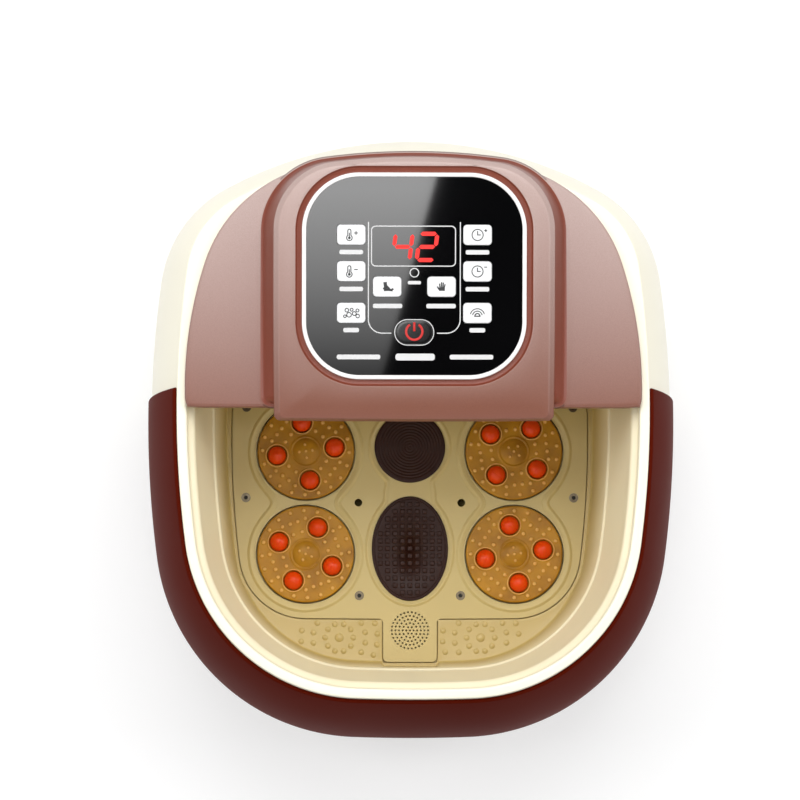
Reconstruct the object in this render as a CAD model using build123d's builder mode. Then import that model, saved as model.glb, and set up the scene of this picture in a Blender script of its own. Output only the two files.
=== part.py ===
from build123d import *
import os
from math import acos, atan2, cos, degrees, hypot, pi, radians, sin, sqrt, tan

# Foot spa basin. Millimetres; +Z up, +Y towards the control head, origin on
# the surface it stands on, under the middle of its length and width.

# ---------------------------------------------------------------- plan sizes
# Rim: the seam line between the basin's flange and the casing.
rim_half_width = 182.3
rim_widest_y = 15.5
rim_side_radius = 800.0
rim_back_y = 211.2
rim_back_radius = 282.0
rim_back_corner = 73.0
rim_front_y = -212.2
rim_front_radius = 1200.0
rim_front_corner = 136.0

# ---------------------------------------------------------------- heights
foot_height = 7.0
base_plate_thickness = 3.0
bulge_z = 110.0
rim_top_z = 236.0
flange_thickness = 6.0
floor_z = 78.0
well_floor_z = 52.0

casing_bottom_z = foot_height + base_plate_thickness
casing_top_z = rim_top_z - flange_thickness

# ---------------------------------------------------------------- shells
casing_bulge = 26.0
casing_foot_out = 16.0
casing_wall = 3.0
casing_lip_width = 14.0
casing_lip_thickness = 6.0
band_thickness = 2.5
band_gap = 0.2
band_bottom_z = 16.0
band_end_y = 27.6

basin_wall = 3.0
basin_back_y = 122.0
basin_back_corner = 60.0
flange_width = 18.0
bead_width = 8.0
# Inside of the basin wall: inset from the rim line, and height.
wall_inside = [
    (bead_width, rim_top_z),
    (bead_width + 0.5, rim_top_z - 9.0),
    (bead_width + 5.5, rim_top_z - 13.0),
    (bead_width + 6.5, rim_top_z - 23.0),
    (bead_width + 16.0, rim_top_z - 86.0),
    (bead_width + 18.0, rim_top_z - 88.0),
    (bead_width + 23.0, floor_z + 8.0),
    (bead_width + 24.5, floor_z),
]

# ---------------------------------------------------------------- floor panel
panel_half_width = 144.7
panel_widest_y = 7.0
panel_side_radius = 810.0
panel_back_y = 44.0
panel_front_y = -144.3
panel_front_corner = 54.0
panel_back_corner = 20.0
panel_thickness = 4.0
panel_gap = 0.4
tab_half_width = 21.7
tab_front_y = -179.3
tab_corner = 4.0
ledge_width = 5.0
well_wall = 3.0

# ---------------------------------------------------------------- massage discs
disc_x = 84.8
disc_rear_y = -8.3
disc_spacing = 83.7
disc_radius = 39.3
disc_top_z = floor_z + 2.0
disc_thickness = 4.6
cup_gap = 1.2
cup_wall = 2.5
cup_floor_z = 70.0
spindle_radius = 5.0
running_gap = 0.06
thrust_gap = 0.3
roller_radius = 7.4
roller_orbit = 23.7
roller_z = 78.0
pocket_radius = 8.2
pin_radius = 1.2
dome_radius = 9.8
disc_front_y = disc_rear_y - disc_spacing
discs = {
    "rear_left": (-disc_x, disc_rear_y, 8.0),
    "rear_right": (disc_x, disc_rear_y, 53.0),
    "front_left": (-disc_x, disc_front_y, 65.5),
    "front_right": (disc_x, disc_front_y, 8.7),
}

# ---------------------------------------------------------------- gears
gear_teeth = 28
pinion_teeth = 12
gear_module = disc_spacing / (gear_teeth + pinion_teeth)
gear_bottom_z = well_floor_z + 4.0
gear_thickness = 10.0
tooth_play = 0.25
drive_y = disc_rear_y - disc_spacing / 2
motor_shaft_radius = 3.0
motor_radius = 27.0
motor_height = 27.0

# ---------------------------------------------------------------- inserts
lens_y = -4.8
lens_radius = 28.7
lamp_radius = 22.0
herb_y = -87.4
herb_half_width = 30.9
herb_half_length = 42.4
insert_depth = 2.0
insert_gap = 0.3
floor_screw_points = [
    (-133.5, -45.9), (133.5, -45.9), (-41.1, -125.6), (41.1, -125.6), (-133.3, 28.0), (133.3, 28.0),
]
screw_head_radius = 3.7
screw_shank_radius = 1.8
outlet_x = 41.9
outlet_y = -50.0
outlet_radius = 3.2
grille_y = -153.8
grille_pitch = 2.95
grille_rings = 5
grille_hole_radius = 0.78

# ---------------------------------------------------------------- hood and head
hood_half_width = 175.8
hood_widest_y = 28.0
hood_side_radius = 317.0
hood_back_y = 209.9
hood_back_radius = 295.4
hood_back_corner = 111.0
hood_front_y = 11.0
hood_wall = 3.0
wing_height = 8.0
head_slope = 8.0
head_front_z = 258.0
head_half_width = 103.3
head_length = 196.7
head_bevel = 4.0
head_base_half_width = 115.5
head_base_back_y = 206.5
panel_centre_s = 109.6
ring_half_width = 85.7
ring_half_length = 78.8
ring_corner = 44.0
ring_width = 3.3
lip_width = 4.6
recess_depth = 2.6
recess_floor = 2.6
window_margin = 9.0
glass_top = -0.4
board_depth = 11.0
board_thickness = 1.6
tray_thickness = 2.5

# ---------------------------------------------------------------- keys
key_half_width = 10.85
key_half_length = 7.7
key_corner = 3.0
key_travel = 0.6
key_gap = 0.3
keys = {
    "key_temperature_up": (-48.1, 141.0),
    "key_temperature_down": (-48.1, 113.2),
    "key_bubbles": (-48.1, 81.5),
    "key_time_up": (48.1, 141.0),
    "key_time_down": (48.1, 113.2),
    "key_light": (48.1, 81.5),
    "key_massage": (-20.7, 101.5),
    "key_preset": (20.7, 101.5),
    "key_power": (0.0, 66.7),
}
power_half_width = 14.2
power_half_length = 9.2

# ---------------------------------------------------------------- base and inner units
foot_points = [(-120.0, -140.0), (120.0, -140.0), (-120.0, 150.0), (120.0, 150.0)]
foot_radius = 13.0
base_screw_radius = 1.6
base_screw_head_radius = 3.5
heater_radius = 14.0
heater_front_y = -70.0
heater_back_y = 40.0
heater_z = 28.0
hose_radius = 5.0
hose_bore = 3.5
nipple_length = 6.0
pump_x = 85.0
pump_y = 150.0
pump_radius = 24.0
pump_height = 52.0
return_z = 110.0
air_pump_x = -70.0
air_pump_front_y = 70.0
air_pump_size = (60.0, 50.0, 54.0)
air_hose_z = 58.0
inlet_z = 45.0
inlet_radius = 8.0
inlet_flange_radius = 12.0
inlet_flange_thickness = 3.0
inlet_pin_radius = 4.0
cradle_inset = 20.0
cradle_width = 24.0
cradle_length = 8.0
power_board_x = -55.0
power_board_y = 160.0
power_board_size = (90.0, 46.0)
power_board_posts = (76.0, 34.0)
post_radius = 3.0
post_height = 6.0
transformer_x = power_board_x - 20.0
transformer_size = (28.0, 24.0, 22.0)
relay_x = power_board_x + 17.0
relay_size = (18.0, 14.0, 15.0)

os.makedirs("parts", exist_ok=True)


# ================================================================ helpers
def corner_centre(a, reach_a, b, reach_b, side):
    """Point at reach_a from a and reach_b from b, on the chosen side in y."""
    gap = hypot(b[0] - a[0], b[1] - a[1])
    along = (reach_a**2 - reach_b**2 + gap**2) / (2 * gap)
    across = sqrt(reach_a**2 - along**2)
    ux, uy = (b[0] - a[0]) / gap, (b[1] - a[1]) / gap
    choices = [(a[0] + along * ux - s * across * uy, a[1] + along * uy + s * across * ux) for s in (1, -1)]
    return max(choices, key=lambda p: side * p[1])


def bearing(centre, other):
    """Direction in degrees from centre to other."""
    return degrees(atan2(other[1] - centre[1], other[0] - centre[0]))


def plan_arcs(half_width, widest_y, side_r, back_y, back_r, back_corner, front_y, front_r, front_corner):
    """A closed plan of eight tangent arcs, counter-clockwise from the front.

    Each arc is (centre, radius, start, end) in degrees. A parallel plan keeps
    the centres and changes only the radii.
    """
    side = (half_width - side_r, widest_y)
    back = (0.0, back_y - back_r)
    front = (0.0, front_y + front_r)
    rear = corner_centre(back, back_r - back_corner, side, side_r - back_corner, 1)
    nose = corner_centre(front, front_r - front_corner, side, side_r - front_corner, -1)
    a_front = bearing(front, nose)
    a_side = bearing(side, nose)
    a_rear = bearing(side, rear)
    a_back = bearing(back, rear)
    right = [
        (nose, front_corner, a_front, a_side),
        (side, side_r, a_side, a_rear),
        (rear, back_corner, a_rear, a_back),
    ]
    left = [((-c[0], c[1]), r, 180 - end, 180 - start) for c, r, start, end in reversed(right)]
    return (
        [(front, front_r, -180 - a_front, a_front)]
        + right
        + [(back, back_r, a_back, 180 - a_back)]
        + left
    )


def on_arc(arc, angle, inset=0.0):
    """Point on an arc at an angle, moved inwards by inset."""
    centre, radius = arc[0], arc[1] - inset
    return (centre[0] + radius * cos(radians(angle)), centre[1] + radius * sin(radians(angle)))


def plan_face(arcs, inset=0.0, plane=Plane.XY):
    """The plan as a face, moved inwards by inset."""
    corners = [on_arc(arc, arc[2], inset) for arc in arcs]
    with BuildSketch(plane) as face:
        with BuildLine():
            for i, arc in enumerate(arcs):
                middle = on_arc(arc, (arc[2] + arc[3]) / 2, inset)
                ThreePointArc(corners[i], middle, corners[(i + 1) % len(corners)])
        make_face()
    return face.sketch


def carried_wall(arcs, section):
    """Carry a wall section round the plan's arcs; x is outwards, y is up."""
    with BuildPart() as wall:
        for centre, radius, start, end in arcs:
            turn = radians(start)
            cut = Plane(
                origin=(centre[0], centre[1], 0),
                x_dir=(cos(turn), sin(turn), 0),
                z_dir=(sin(turn), -cos(turn), 0),
            )
            with BuildSketch(cut):
                with Locations((radius, 0)):
                    add(section)
            revolve(axis=Axis((centre[0], centre[1], 0), (0, 0, 1)), revolution_arc=end - start)
    return wall.part


def finish(piece, name):
    """Label a finished piece and write it to its own file."""
    piece.label = name
    export_step(piece, f"parts/{name}.step")


# ================================================================ plans
rim = plan_arcs(
    rim_half_width, rim_widest_y, rim_side_radius,
    rim_back_y, rim_back_radius, rim_back_corner,
    rim_front_y, rim_front_radius, rim_front_corner,
)
tub = plan_arcs(
    rim_half_width, rim_widest_y, rim_side_radius,
    basin_back_y, 4000.0, basin_back_corner,
    rim_front_y, rim_front_radius, rim_front_corner,
)
panel_plan = plan_arcs(
    panel_half_width, panel_widest_y, panel_side_radius,
    panel_back_y, 4000.0, panel_back_corner,
    panel_front_y, 9000.0, panel_front_corner,
)
hood_plan = plan_arcs(
    hood_half_width, hood_widest_y, hood_side_radius,
    hood_back_y, hood_back_radius, hood_back_corner,
    rim_front_y, rim_front_radius, rim_front_corner,
)


def floor_face(inset=0.0, plane=Plane.XY):
    """Plan of the floor panel with its front tab, moved inwards by inset."""
    half = tab_half_width - inset
    front = tab_front_y + inset
    with BuildSketch(plane) as face:
        add(plan_face(panel_plan, inset))
        with Locations((0, (front + disc_front_y) / 2)):
            Rectangle(2 * half, disc_front_y - front)
        corners = face.vertices().filter_by(lambda v: abs(abs(v.X) - half) < 0.01)
        fillet(corners, tab_corner)
    return face.sketch


def hood_face(inset=0.0, plane=Plane.XY):
    """Plan of the rear hood, moved inwards by inset."""
    with BuildSketch(plane) as face:
        add(plan_face(hood_plan, inset))
        with Locations((0, hood_front_y + inset - 300)):
            Rectangle(800, 600, mode=Mode.SUBTRACT)
    return face.sketch


# ================================================================ casing
upper_arc_radius = (casing_bulge**2 + (casing_top_z - bulge_z) ** 2) / (2 * casing_bulge)
foot_in = casing_bulge - casing_foot_out
lower_arc_radius = (foot_in**2 + (bulge_z - casing_bottom_z) ** 2) / (2 * foot_in)


def casing_out(z, skin=0.0):
    """How far outside the rim line the casing stands at height z."""
    radius = upper_arc_radius if z > bulge_z else lower_arc_radius
    return casing_bulge - radius + sqrt((radius + skin) ** 2 - (z - bulge_z) ** 2)


def skin_arc(z_from, z_to, skin):
    """One stretch of the casing's curve between two heights."""
    middle = (z_from + z_to) / 2
    ThreePointArc(
        (casing_out(z_from, skin), z_from),
        (casing_out(middle, skin), middle),
        (casing_out(z_to, skin), z_to),
    )


def shell_section(bottom, top, inner, outer):
    """Section of a skin on the casing's curve between two offsets."""
    with BuildSketch() as section:
        with BuildLine():
            skin_arc(bottom, bulge_z, outer)
            skin_arc(bulge_z, top, outer)
            Line((casing_out(top, outer), top), (casing_out(top, inner), top))
            skin_arc(top, bulge_z, inner)
            skin_arc(bulge_z, bottom, inner)
            Line((casing_out(bottom, inner), bottom), (casing_out(bottom, outer), bottom))
        make_face()
    return section.sketch


def point_on_plan(arcs, index, outwards):
    """Middle of one arc of a plan, moved outwards."""
    arc = arcs[index]
    return on_arc(arc, (arc[2] + arc[3]) / 2, -outwards)


lip_middle = casing_foot_out - casing_wall - casing_lip_width / 2
base_screw_points = [point_on_plan(rim, i, lip_middle) for i in (1, 2, 3, 5, 6, 7)]
inlet_back = rim_back_y + min(casing_out(inlet_z - inlet_flange_radius), casing_out(inlet_z + inlet_flange_radius))
inlet_face_y = inlet_back - 1.0

with BuildPart() as outer_casing:
    add(carried_wall(rim, shell_section(casing_bottom_z, casing_top_z, -casing_wall, 0.0)))
    # Turned-in lips that the basin's flange and the base plate rest on.
    with BuildSketch(Plane.XY.offset(casing_top_z)):
        add(plan_face(rim, 1.0))
        add(plan_face(rim, bead_width - basin_wall - 0.3), mode=Mode.SUBTRACT)
    extrude(amount=-casing_wall)
    with BuildSketch(Plane.XY.offset(casing_bottom_z)):
        add(plan_face(rim, -casing_foot_out + 1.0))
        add(plan_face(rim, -casing_foot_out + casing_wall + casing_lip_width), mode=Mode.SUBTRACT)
    extrude(amount=casing_lip_thickness)
    with BuildSketch(Plane.XY.offset(casing_bottom_z)):
        with Locations(*base_screw_points):
            Circle(base_screw_radius)
    extrude(amount=casing_lip_thickness, mode=Mode.SUBTRACT)
    # Flat seat for the mains inlet at the back.
    with BuildSketch(Plane.XZ.offset(-inlet_face_y)):
        with Locations((0, inlet_z)):
            Circle(inlet_flange_radius + 1.5)
    extrude(amount=casing_wall + 2.0)
    with BuildSketch(Plane.XZ.offset(-inlet_face_y)):
        with Locations((0, inlet_z)):
            Circle(inlet_flange_radius + 0.5)
    extrude(amount=-20.0, mode=Mode.SUBTRACT)
    with BuildSketch(Plane.XZ.offset(-inlet_face_y)):
        with Locations((0, inlet_z)):
            Circle(inlet_radius + 0.02)
    extrude(amount=20.0, mode=Mode.SUBTRACT)
finish(outer_casing.part, "outer_casing")

with BuildPart() as front_band:
    add(carried_wall(
        [rim[i] for i in (6, 7, 0, 1, 2)],
        shell_section(band_bottom_z, casing_top_z, band_gap, band_gap + band_thickness),
    ))
    with BuildSketch(Plane.XY):
        with Locations((0, band_end_y + 250)):
            Rectangle(800, 500)
    extrude(amount=rim_top_z, mode=Mode.SUBTRACT)
finish(front_band.part, "front_band")

with BuildPart() as base_plate:
    with BuildSketch(Plane.XY.offset(foot_height)):
        add(plan_face(rim, 1.5 - casing_foot_out))
    extrude(amount=base_plate_thickness)
    # Cradles under the heater.
    with BuildSketch(Plane.XY.offset(casing_bottom_z)):
        with Locations((0, heater_front_y + cradle_inset), (0, heater_back_y - cradle_inset)):
            Rectangle(cradle_width, cradle_length)
    extrude(amount=heater_z - casing_bottom_z - 6)
    with BuildSketch(Plane.XZ):
        with Locations((0, heater_z)):
            Circle(heater_radius)
    extrude(amount=200, both=True, mode=Mode.SUBTRACT)
    # Posts under the power board.
    with BuildSketch(Plane.XY.offset(casing_bottom_z)):
        with Locations((power_board_x, power_board_y)):
            with GridLocations(*power_board_posts, 2, 2):
                Circle(post_radius)
    extrude(amount=post_height)
    with BuildSketch(Plane.XY.offset(foot_height)):
        with Locations(*base_screw_points):
            Circle(base_screw_radius + 0.2)
    extrude(amount=base_plate_thickness, mode=Mode.SUBTRACT)
    with BuildSketch(Plane.XY.offset(foot_height)):
        with Locations(*base_screw_points):
            Circle(base_screw_head_radius + 0.3)
    extrude(amount=1.5, mode=Mode.SUBTRACT)
finish(base_plate.part, "base_plate")

with BuildPart() as base_screws:
    with BuildSketch(Plane.XY.offset(foot_height + 0.1)):
        with Locations(*base_screw_points):
            Circle(base_screw_head_radius)
    extrude(amount=1.4)
    with BuildSketch(Plane.XY.offset(foot_height + 1.4)):
        with Locations(*base_screw_points):
            Circle(base_screw_radius - 0.02)
    extrude(amount=casing_lip_thickness)
finish(base_screws.part, "base_screws")

with BuildPart() as rubber_feet:
    with BuildSketch(Plane.XY):
        with Locations(*foot_points):
            Circle(foot_radius - 1.5)
    extrude(amount=foot_height, taper=-10)
finish(rubber_feet.part, "rubber_feet")

# ================================================================ basin
outside_bottom_z = floor_z - panel_thickness - basin_wall
well_inset = ledge_width
boss_top_z = gear_bottom_z - thrust_gap
motor_points = [(-disc_x, drive_y), (disc_x, drive_y)]
disc_points = [(x, y) for x, y, turn in discs.values()]
nipple_end_z = well_floor_z - well_wall - nipple_length
wall_at_return = bead_width + 18.0 + (rim_top_z - 88.0 - return_z) * 5.0 / 62.0
return_wall_y = basin_back_y - wall_at_return

with BuildPart() as basin:
    # Flange all round the rim, with the casing's lip under it.
    with BuildSketch(Plane.XY.offset(casing_top_z)):
        add(plan_face(rim))
        add(plan_face(rim, flange_width), mode=Mode.SUBTRACT)
    extrude(amount=flange_thickness)
    # Outside of the tub.
    outside = [(inset - basin_wall, z) for inset, z in wall_inside if z > outside_bottom_z]
    outside.append((outside[-1][0] + 1.0, outside_bottom_z))
    for (inset_a, z_a), (inset_b, z_b) in zip(outside, outside[1:]):
        loft([plan_face(tub, inset_a, Plane.XY.offset(z_a)), plan_face(tub, inset_b, Plane.XY.offset(z_b))], ruled=True)
    # Well under the floor panel, for the gears.
    with BuildSketch(Plane.XY.offset(well_floor_z - well_wall)):
        add(floor_face(well_inset - well_wall))
    extrude(amount=floor_z - panel_thickness - well_floor_z + well_wall)
    # Inside of the tub.
    for (inset_a, z_a), (inset_b, z_b) in zip(wall_inside, wall_inside[1:]):
        loft(
            [plan_face(tub, inset_a, Plane.XY.offset(z_a)), plan_face(tub, inset_b, Plane.XY.offset(z_b))],
            ruled=True,
            mode=Mode.SUBTRACT,
        )
    with BuildSketch(Plane.XY.offset(floor_z)):
        add(floor_face(-panel_gap))
    extrude(amount=-panel_thickness, mode=Mode.SUBTRACT)
    with BuildSketch(Plane.XY.offset(floor_z)):
        add(floor_face(well_inset))
    extrude(amount=well_floor_z - floor_z, mode=Mode.SUBTRACT)
    # Bearing bosses for the disc spindles, screw bosses and hose nipples.
    with BuildSketch(Plane.XY.offset(well_floor_z)):
        with Locations(*disc_points):
            Circle(spindle_radius + 4)
    extrude(amount=boss_top_z - well_floor_z)
    with BuildSketch(Plane.XY.offset(boss_top_z)):
        with Locations(*disc_points):
            Circle(spindle_radius + running_gap)
    extrude(amount=well_floor_z - 1 - boss_top_z, mode=Mode.SUBTRACT)
    with BuildSketch(Plane.XY.offset(well_floor_z)):
        with Locations(*floor_screw_points):
            Circle(5)
    extrude(amount=floor_z - panel_thickness - well_floor_z)
    with BuildSketch(Plane.XY.offset(floor_z - panel_thickness)):
        with Locations(*floor_screw_points):
            Circle(screw_shank_radius)
    extrude(amount=-16, mode=Mode.SUBTRACT)
    with BuildSketch(Plane.XY.offset(well_floor_z - 1)):
        with Locations((0, grille_y)):
            Circle(hose_radius)
    extrude(amount=nipple_end_z - well_floor_z + 1)
    with BuildSketch(Plane.XY.offset(well_floor_z)):
        with Locations((0, grille_y)):
            Circle(hose_bore)
        with Locations(*motor_points):
            Circle(7)
    extrude(amount=nipple_end_z - well_floor_z, mode=Mode.SUBTRACT)
    with BuildSketch(Plane.XZ.offset(1 - return_wall_y)):
        with Locations((pump_x, return_z)):
            Circle(hose_radius)
    extrude(amount=-nipple_length - basin_wall - 1)
    with BuildSketch(Plane.XZ.offset(10 - return_wall_y)):
        with Locations((pump_x, return_z)):
            Circle(hose_bore)
    extrude(amount=-40, mode=Mode.SUBTRACT)
    with BuildSketch(Plane.XZ.offset(well_inset + 1 - panel_back_y)):
        with Locations((air_pump_x, air_hose_z)):
            Circle(hose_radius)
    extrude(amount=-nipple_length - well_wall - 1)
    with BuildSketch(Plane.XZ.offset(well_inset + 10 - panel_back_y)):
        with Locations((air_pump_x, air_hose_z)):
            Circle(hose_bore)
    extrude(amount=-40, mode=Mode.SUBTRACT)
finish(basin.part, "basin")

# ================================================================ floor panel
cup_radius = disc_radius + cup_gap
cup_bottom_z = cup_floor_z - cup_wall

with BuildPart() as floor_panel:
    with BuildSketch(Plane.XY.offset(floor_z - panel_thickness)):
        add(floor_face())
    extrude(amount=panel_thickness)
    with BuildSketch(Plane.XY.offset(cup_bottom_z)):
        with Locations(*disc_points):
            Circle(cup_radius + cup_wall)
    extrude(amount=floor_z - panel_thickness - cup_bottom_z)
    with BuildSketch(Plane.XY.offset(cup_floor_z)):
        with Locations(*disc_points):
            Circle(cup_radius)
    extrude(amount=20, mode=Mode.SUBTRACT)
    with BuildSketch(Plane.XY.offset(floor_z)):
        with Locations(*disc_points):
            Circle(spindle_radius + running_gap)
        with Locations(*floor_screw_points):
            Circle(screw_shank_radius + 0.2)
        with Locations((-outlet_x, outlet_y), (outlet_x, outlet_y)):
            Circle(outlet_radius)
        with Locations((0, lens_y)):
            Circle(lens_radius - 4)
        with Locations((0, herb_y)):
            Ellipse(herb_half_width - 2.1, herb_half_length - 2.1)
        with Locations((0, grille_y)):
            Circle(grille_hole_radius)
            for ring in range(1, grille_rings + 1):
                with PolarLocations(ring * grille_pitch, 6 * ring):
                    Circle(grille_hole_radius)
    extrude(amount=-20, mode=Mode.SUBTRACT)
    with BuildSketch(Plane.XY.offset(floor_z)):
        with Locations((0, lens_y)):
            Circle(lens_radius + insert_gap)
        with Locations((0, herb_y)):
            Ellipse(herb_half_width + insert_gap, herb_half_length + insert_gap)
        with Locations(*floor_screw_points):
            Circle(screw_head_radius + 0.1)
    extrude(amount=-insert_depth, mode=Mode.SUBTRACT)
finish(floor_panel.part, "floor_panel")

with BuildPart() as floor_screws:
    with BuildSketch(Plane.XY.offset(floor_z - insert_depth)):
        with Locations(*floor_screw_points):
            Circle(screw_head_radius)
    extrude(amount=insert_depth + 0.2)
    with BuildSketch(Plane.XY.offset(floor_z + 0.2)):
        with Locations(*floor_screw_points):
            RegularPolygon(1.9, 6)
    extrude(amount=-1.2, mode=Mode.SUBTRACT)
    with BuildSketch(Plane.XY.offset(floor_z - insert_depth)):
        with Locations(*floor_screw_points):
            Circle(screw_shank_radius - 0.02)
    extrude(amount=-15)
finish(floor_screws.part, "floor_screws")

with BuildPart() as infrared_lens:
    with BuildSketch(Plane.XY.offset(floor_z - insert_depth)):
        with Locations((0, lens_y)):
            Circle(lens_radius)
    extrude(amount=insert_depth + 1)
    fillet(infrared_lens.edges().sort_by(Axis.Z)[-1], 0.8)
finish(infrared_lens.part, "infrared_lens")

with BuildPart() as infrared_lamp:
    with BuildSketch(Plane.XY.offset(well_floor_z)):
        with Locations((0, lens_y)):
            Circle(lamp_radius)
    extrude(amount=floor_z - insert_depth - 0.5 - well_floor_z)
finish(infrared_lamp.part, "infrared_lamp")

herb_bottom_z = well_floor_z + 2.0
herb_rim_z = floor_z - insert_depth + 1.0
with BuildPart() as herb_box:
    with BuildSketch(Plane.XY.offset(herb_bottom_z)):
        with Locations((0, herb_y)):
            Ellipse(herb_half_width - 2.4, herb_half_length - 2.4)
    extrude(amount=herb_rim_z - herb_bottom_z)
    with BuildSketch(Plane.XY.offset(floor_z - insert_depth)):
        with Locations((0, herb_y)):
            Ellipse(herb_half_width, herb_half_length)
    extrude(amount=herb_rim_z - floor_z + insert_depth)
    with BuildSketch(Plane.XY.offset(herb_bottom_z + 1.6)):
        with Locations((0, herb_y)):
            Ellipse(herb_half_width - 4.4, herb_half_length - 4.4)
    extrude(amount=40, mode=Mode.SUBTRACT)
    with BuildSketch(Plane.XY.offset(herb_bottom_z)):
        with Locations((0, herb_y)):
            with GridLocations(10, 12, 3, 5):
                Circle(1.5)
    extrude(amount=5, mode=Mode.SUBTRACT)
finish(herb_box.part, "herb_box")

lid_bottom_z = herb_rim_z + thrust_gap
with BuildPart() as herb_box_lid:
    with BuildSketch(Plane.XY.offset(lid_bottom_z)):
        with Locations((0, herb_y)):
            Ellipse(herb_half_width, herb_half_length)
    extrude(amount=floor_z + 1 - lid_bottom_z)
    with BuildSketch(Plane.XY.offset(lid_bottom_z)):
        with Locations((0, herb_y)):
            Ellipse(herb_half_width - 4.9, herb_half_length - 4.9)
            Ellipse(herb_half_width - 6.9, herb_half_length - 6.9, mode=Mode.SUBTRACT)
    extrude(amount=-3)
    # Square studs on the part of the grid that lies inside the oval.
    with BuildSketch(Plane.XY.offset(floor_z + 1)):
        with Locations((0, herb_y)):
            for column in range(-4, 5):
                for row in range(-6, 7):
                    reach = hypot(column * 6 / (herb_half_width - 3), row * 6 / (herb_half_length - 3))
                    if reach < 0.97:
                        with Locations((column * 6, row * 6)):
                            Rectangle(4, 4)
    extrude(amount=1)
finish(herb_box_lid.part, "herb_box_lid")


# ================================================================ massage discs
def gear_face(teeth, start):
    """Gear outline with involute-width teeth; start is one tooth's bearing."""
    pitch_r = gear_module * teeth / 2
    base_r = pitch_r * cos(radians(20))
    spread = tan(radians(20)) - radians(20)
    thick = pi * gear_module / 2 - tooth_play

    def half_width(radius):
        slant = acos(min(1.0, base_r / radius))
        return radius * sin(thick / (2 * pitch_r) + spread - (tan(slant) - slant))

    root_r = pitch_r - 1.2 * gear_module
    tip_r = pitch_r + 0.9 * gear_module
    root, middle, tip = half_width(root_r), half_width(pitch_r), half_width(tip_r)
    with BuildSketch() as tooth:
        with BuildLine():
            Line((root_r - 1, -root), (root_r, -root))
            ThreePointArc((root_r, -root), (pitch_r, -middle), (tip_r, -tip))
            Line((tip_r, -tip), (tip_r, tip))
            ThreePointArc((tip_r, tip), (pitch_r, middle), (root_r, root))
            Line((root_r, root), (root_r - 1, root))
            Line((root_r - 1, root), (root_r - 1, -root))
        make_face()
    with BuildSketch() as face:
        Circle(root_r)
        with PolarLocations(0, teeth, start_angle=start):
            add(tooth.sketch)
    return face.sketch


disc_gear_face = gear_face(gear_teeth, 90)
pinion_face = gear_face(pinion_teeth, 90 + 180 / pinion_teeth)
disc_bottom_z = disc_top_z - disc_thickness
socket_top_z = disc_top_z - 3.0
gear_top_z = gear_bottom_z + gear_thickness
roller_bore = pin_radius + 0.05
roller_end = sqrt(roller_radius**2 - roller_bore**2)

for place, (x, y, turn) in discs.items():
    with BuildPart() as massage_disc:
        with BuildSketch(Plane.XY.offset(disc_bottom_z)):
            with Locations((x, y)):
                Circle(disc_radius)
        extrude(amount=disc_thickness)
        fillet(massage_disc.edges().sort_by(Axis.Z)[-1], 1.5)
        with BuildSketch(Plane.XY.offset(disc_top_z)):
            with Locations((x, y)):
                Circle(dome_radius)
                with PolarLocations(roller_orbit, 4, start_angle=turn):
                    Circle(pocket_radius + 0.8)
        extrude(amount=0.9)
        with BuildSketch(Plane.XY.offset(disc_top_z)):
            with Locations((x, y)):
                Circle(dome_radius)
        extrude(amount=3.0, taper=25)
        with BuildSketch(Plane.XY.offset(cup_floor_z + thrust_gap)):
            with Locations((x, y)):
                Circle(spindle_radius + 4)
        extrude(amount=disc_bottom_z - cup_floor_z)
        with BuildSketch(Plane.XY.offset(socket_top_z)):
            with Locations((x, y)):
                Circle(spindle_radius + 0.01)
        extrude(amount=-20, mode=Mode.SUBTRACT)
        with BuildSketch(Plane.XY.offset(disc_top_z + 10)):
            with Locations((x, y)):
                with PolarLocations(roller_orbit, 4, start_angle=turn):
                    Circle(pocket_radius)
        extrude(amount=-30, mode=Mode.SUBTRACT)
        with Locations((x, y, roller_z)):
            with PolarLocations(roller_orbit, 4, start_angle=turn):
                Cylinder(pin_radius, 2 * pocket_radius + 2, rotation=(0, 90, 0))
    finish(massage_disc.part, f"massage_disc_{place}")

    with BuildPart() as disc_gear:
        with BuildSketch(Plane.XY.offset(gear_bottom_z)):
            with Locations((x, y)):
                add(disc_gear_face)
        extrude(amount=gear_thickness)
        with BuildSketch(Plane.XY.offset(gear_top_z)):
            with Locations((x, y)):
                Circle(spindle_radius + 3)
        extrude(amount=cup_bottom_z - thrust_gap - gear_top_z)
        with BuildSketch(Plane.XY.offset(well_floor_z - 1 + thrust_gap)):
            with Locations((x, y)):
                Circle(spindle_radius)
        extrude(amount=socket_top_z - well_floor_z + 1 - thrust_gap)
    finish(disc_gear.part, f"disc_gear_{place}")

    for number in range(4):
        way = turn + 90 * number
        centre = (x + roller_orbit * cos(radians(way)), y + roller_orbit * sin(radians(way)), roller_z)
        axle = Plane(origin=centre, x_dir=(cos(radians(way)), sin(radians(way)), 0), z_dir=(0, 0, 1))
        with BuildPart() as roller:
            with BuildSketch(axle):
                with BuildLine():
                    Line((-roller_end, roller_bore), (roller_end, roller_bore))
                    ThreePointArc((roller_end, roller_bore), (0, roller_radius), (-roller_end, roller_bore))
                make_face()
            revolve(axis=Axis(centre, (cos(radians(way)), sin(radians(way)), 0)))
        finish(roller.part, f"roller_{place}_{number + 1}")

# ================================================================ drive
seal_flange_z = well_floor_z + 2.0
motor_top_z = well_floor_z - well_wall
for side, x in (("left", -disc_x), ("right", disc_x)):
    with BuildPart() as drive_pinion:
        with BuildSketch(Plane.XY.offset(gear_bottom_z)):
            with Locations((x, drive_y)):
                add(pinion_face)
        extrude(amount=gear_thickness)
        with BuildSketch(Plane.XY.offset(motor_top_z - motor_height + 4)):
            with Locations((x, drive_y)):
                Circle(motor_shaft_radius)
        extrude(amount=gear_bottom_z - motor_top_z + motor_height - 4)
    finish(drive_pinion.part, f"drive_pinion_{side}")

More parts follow.
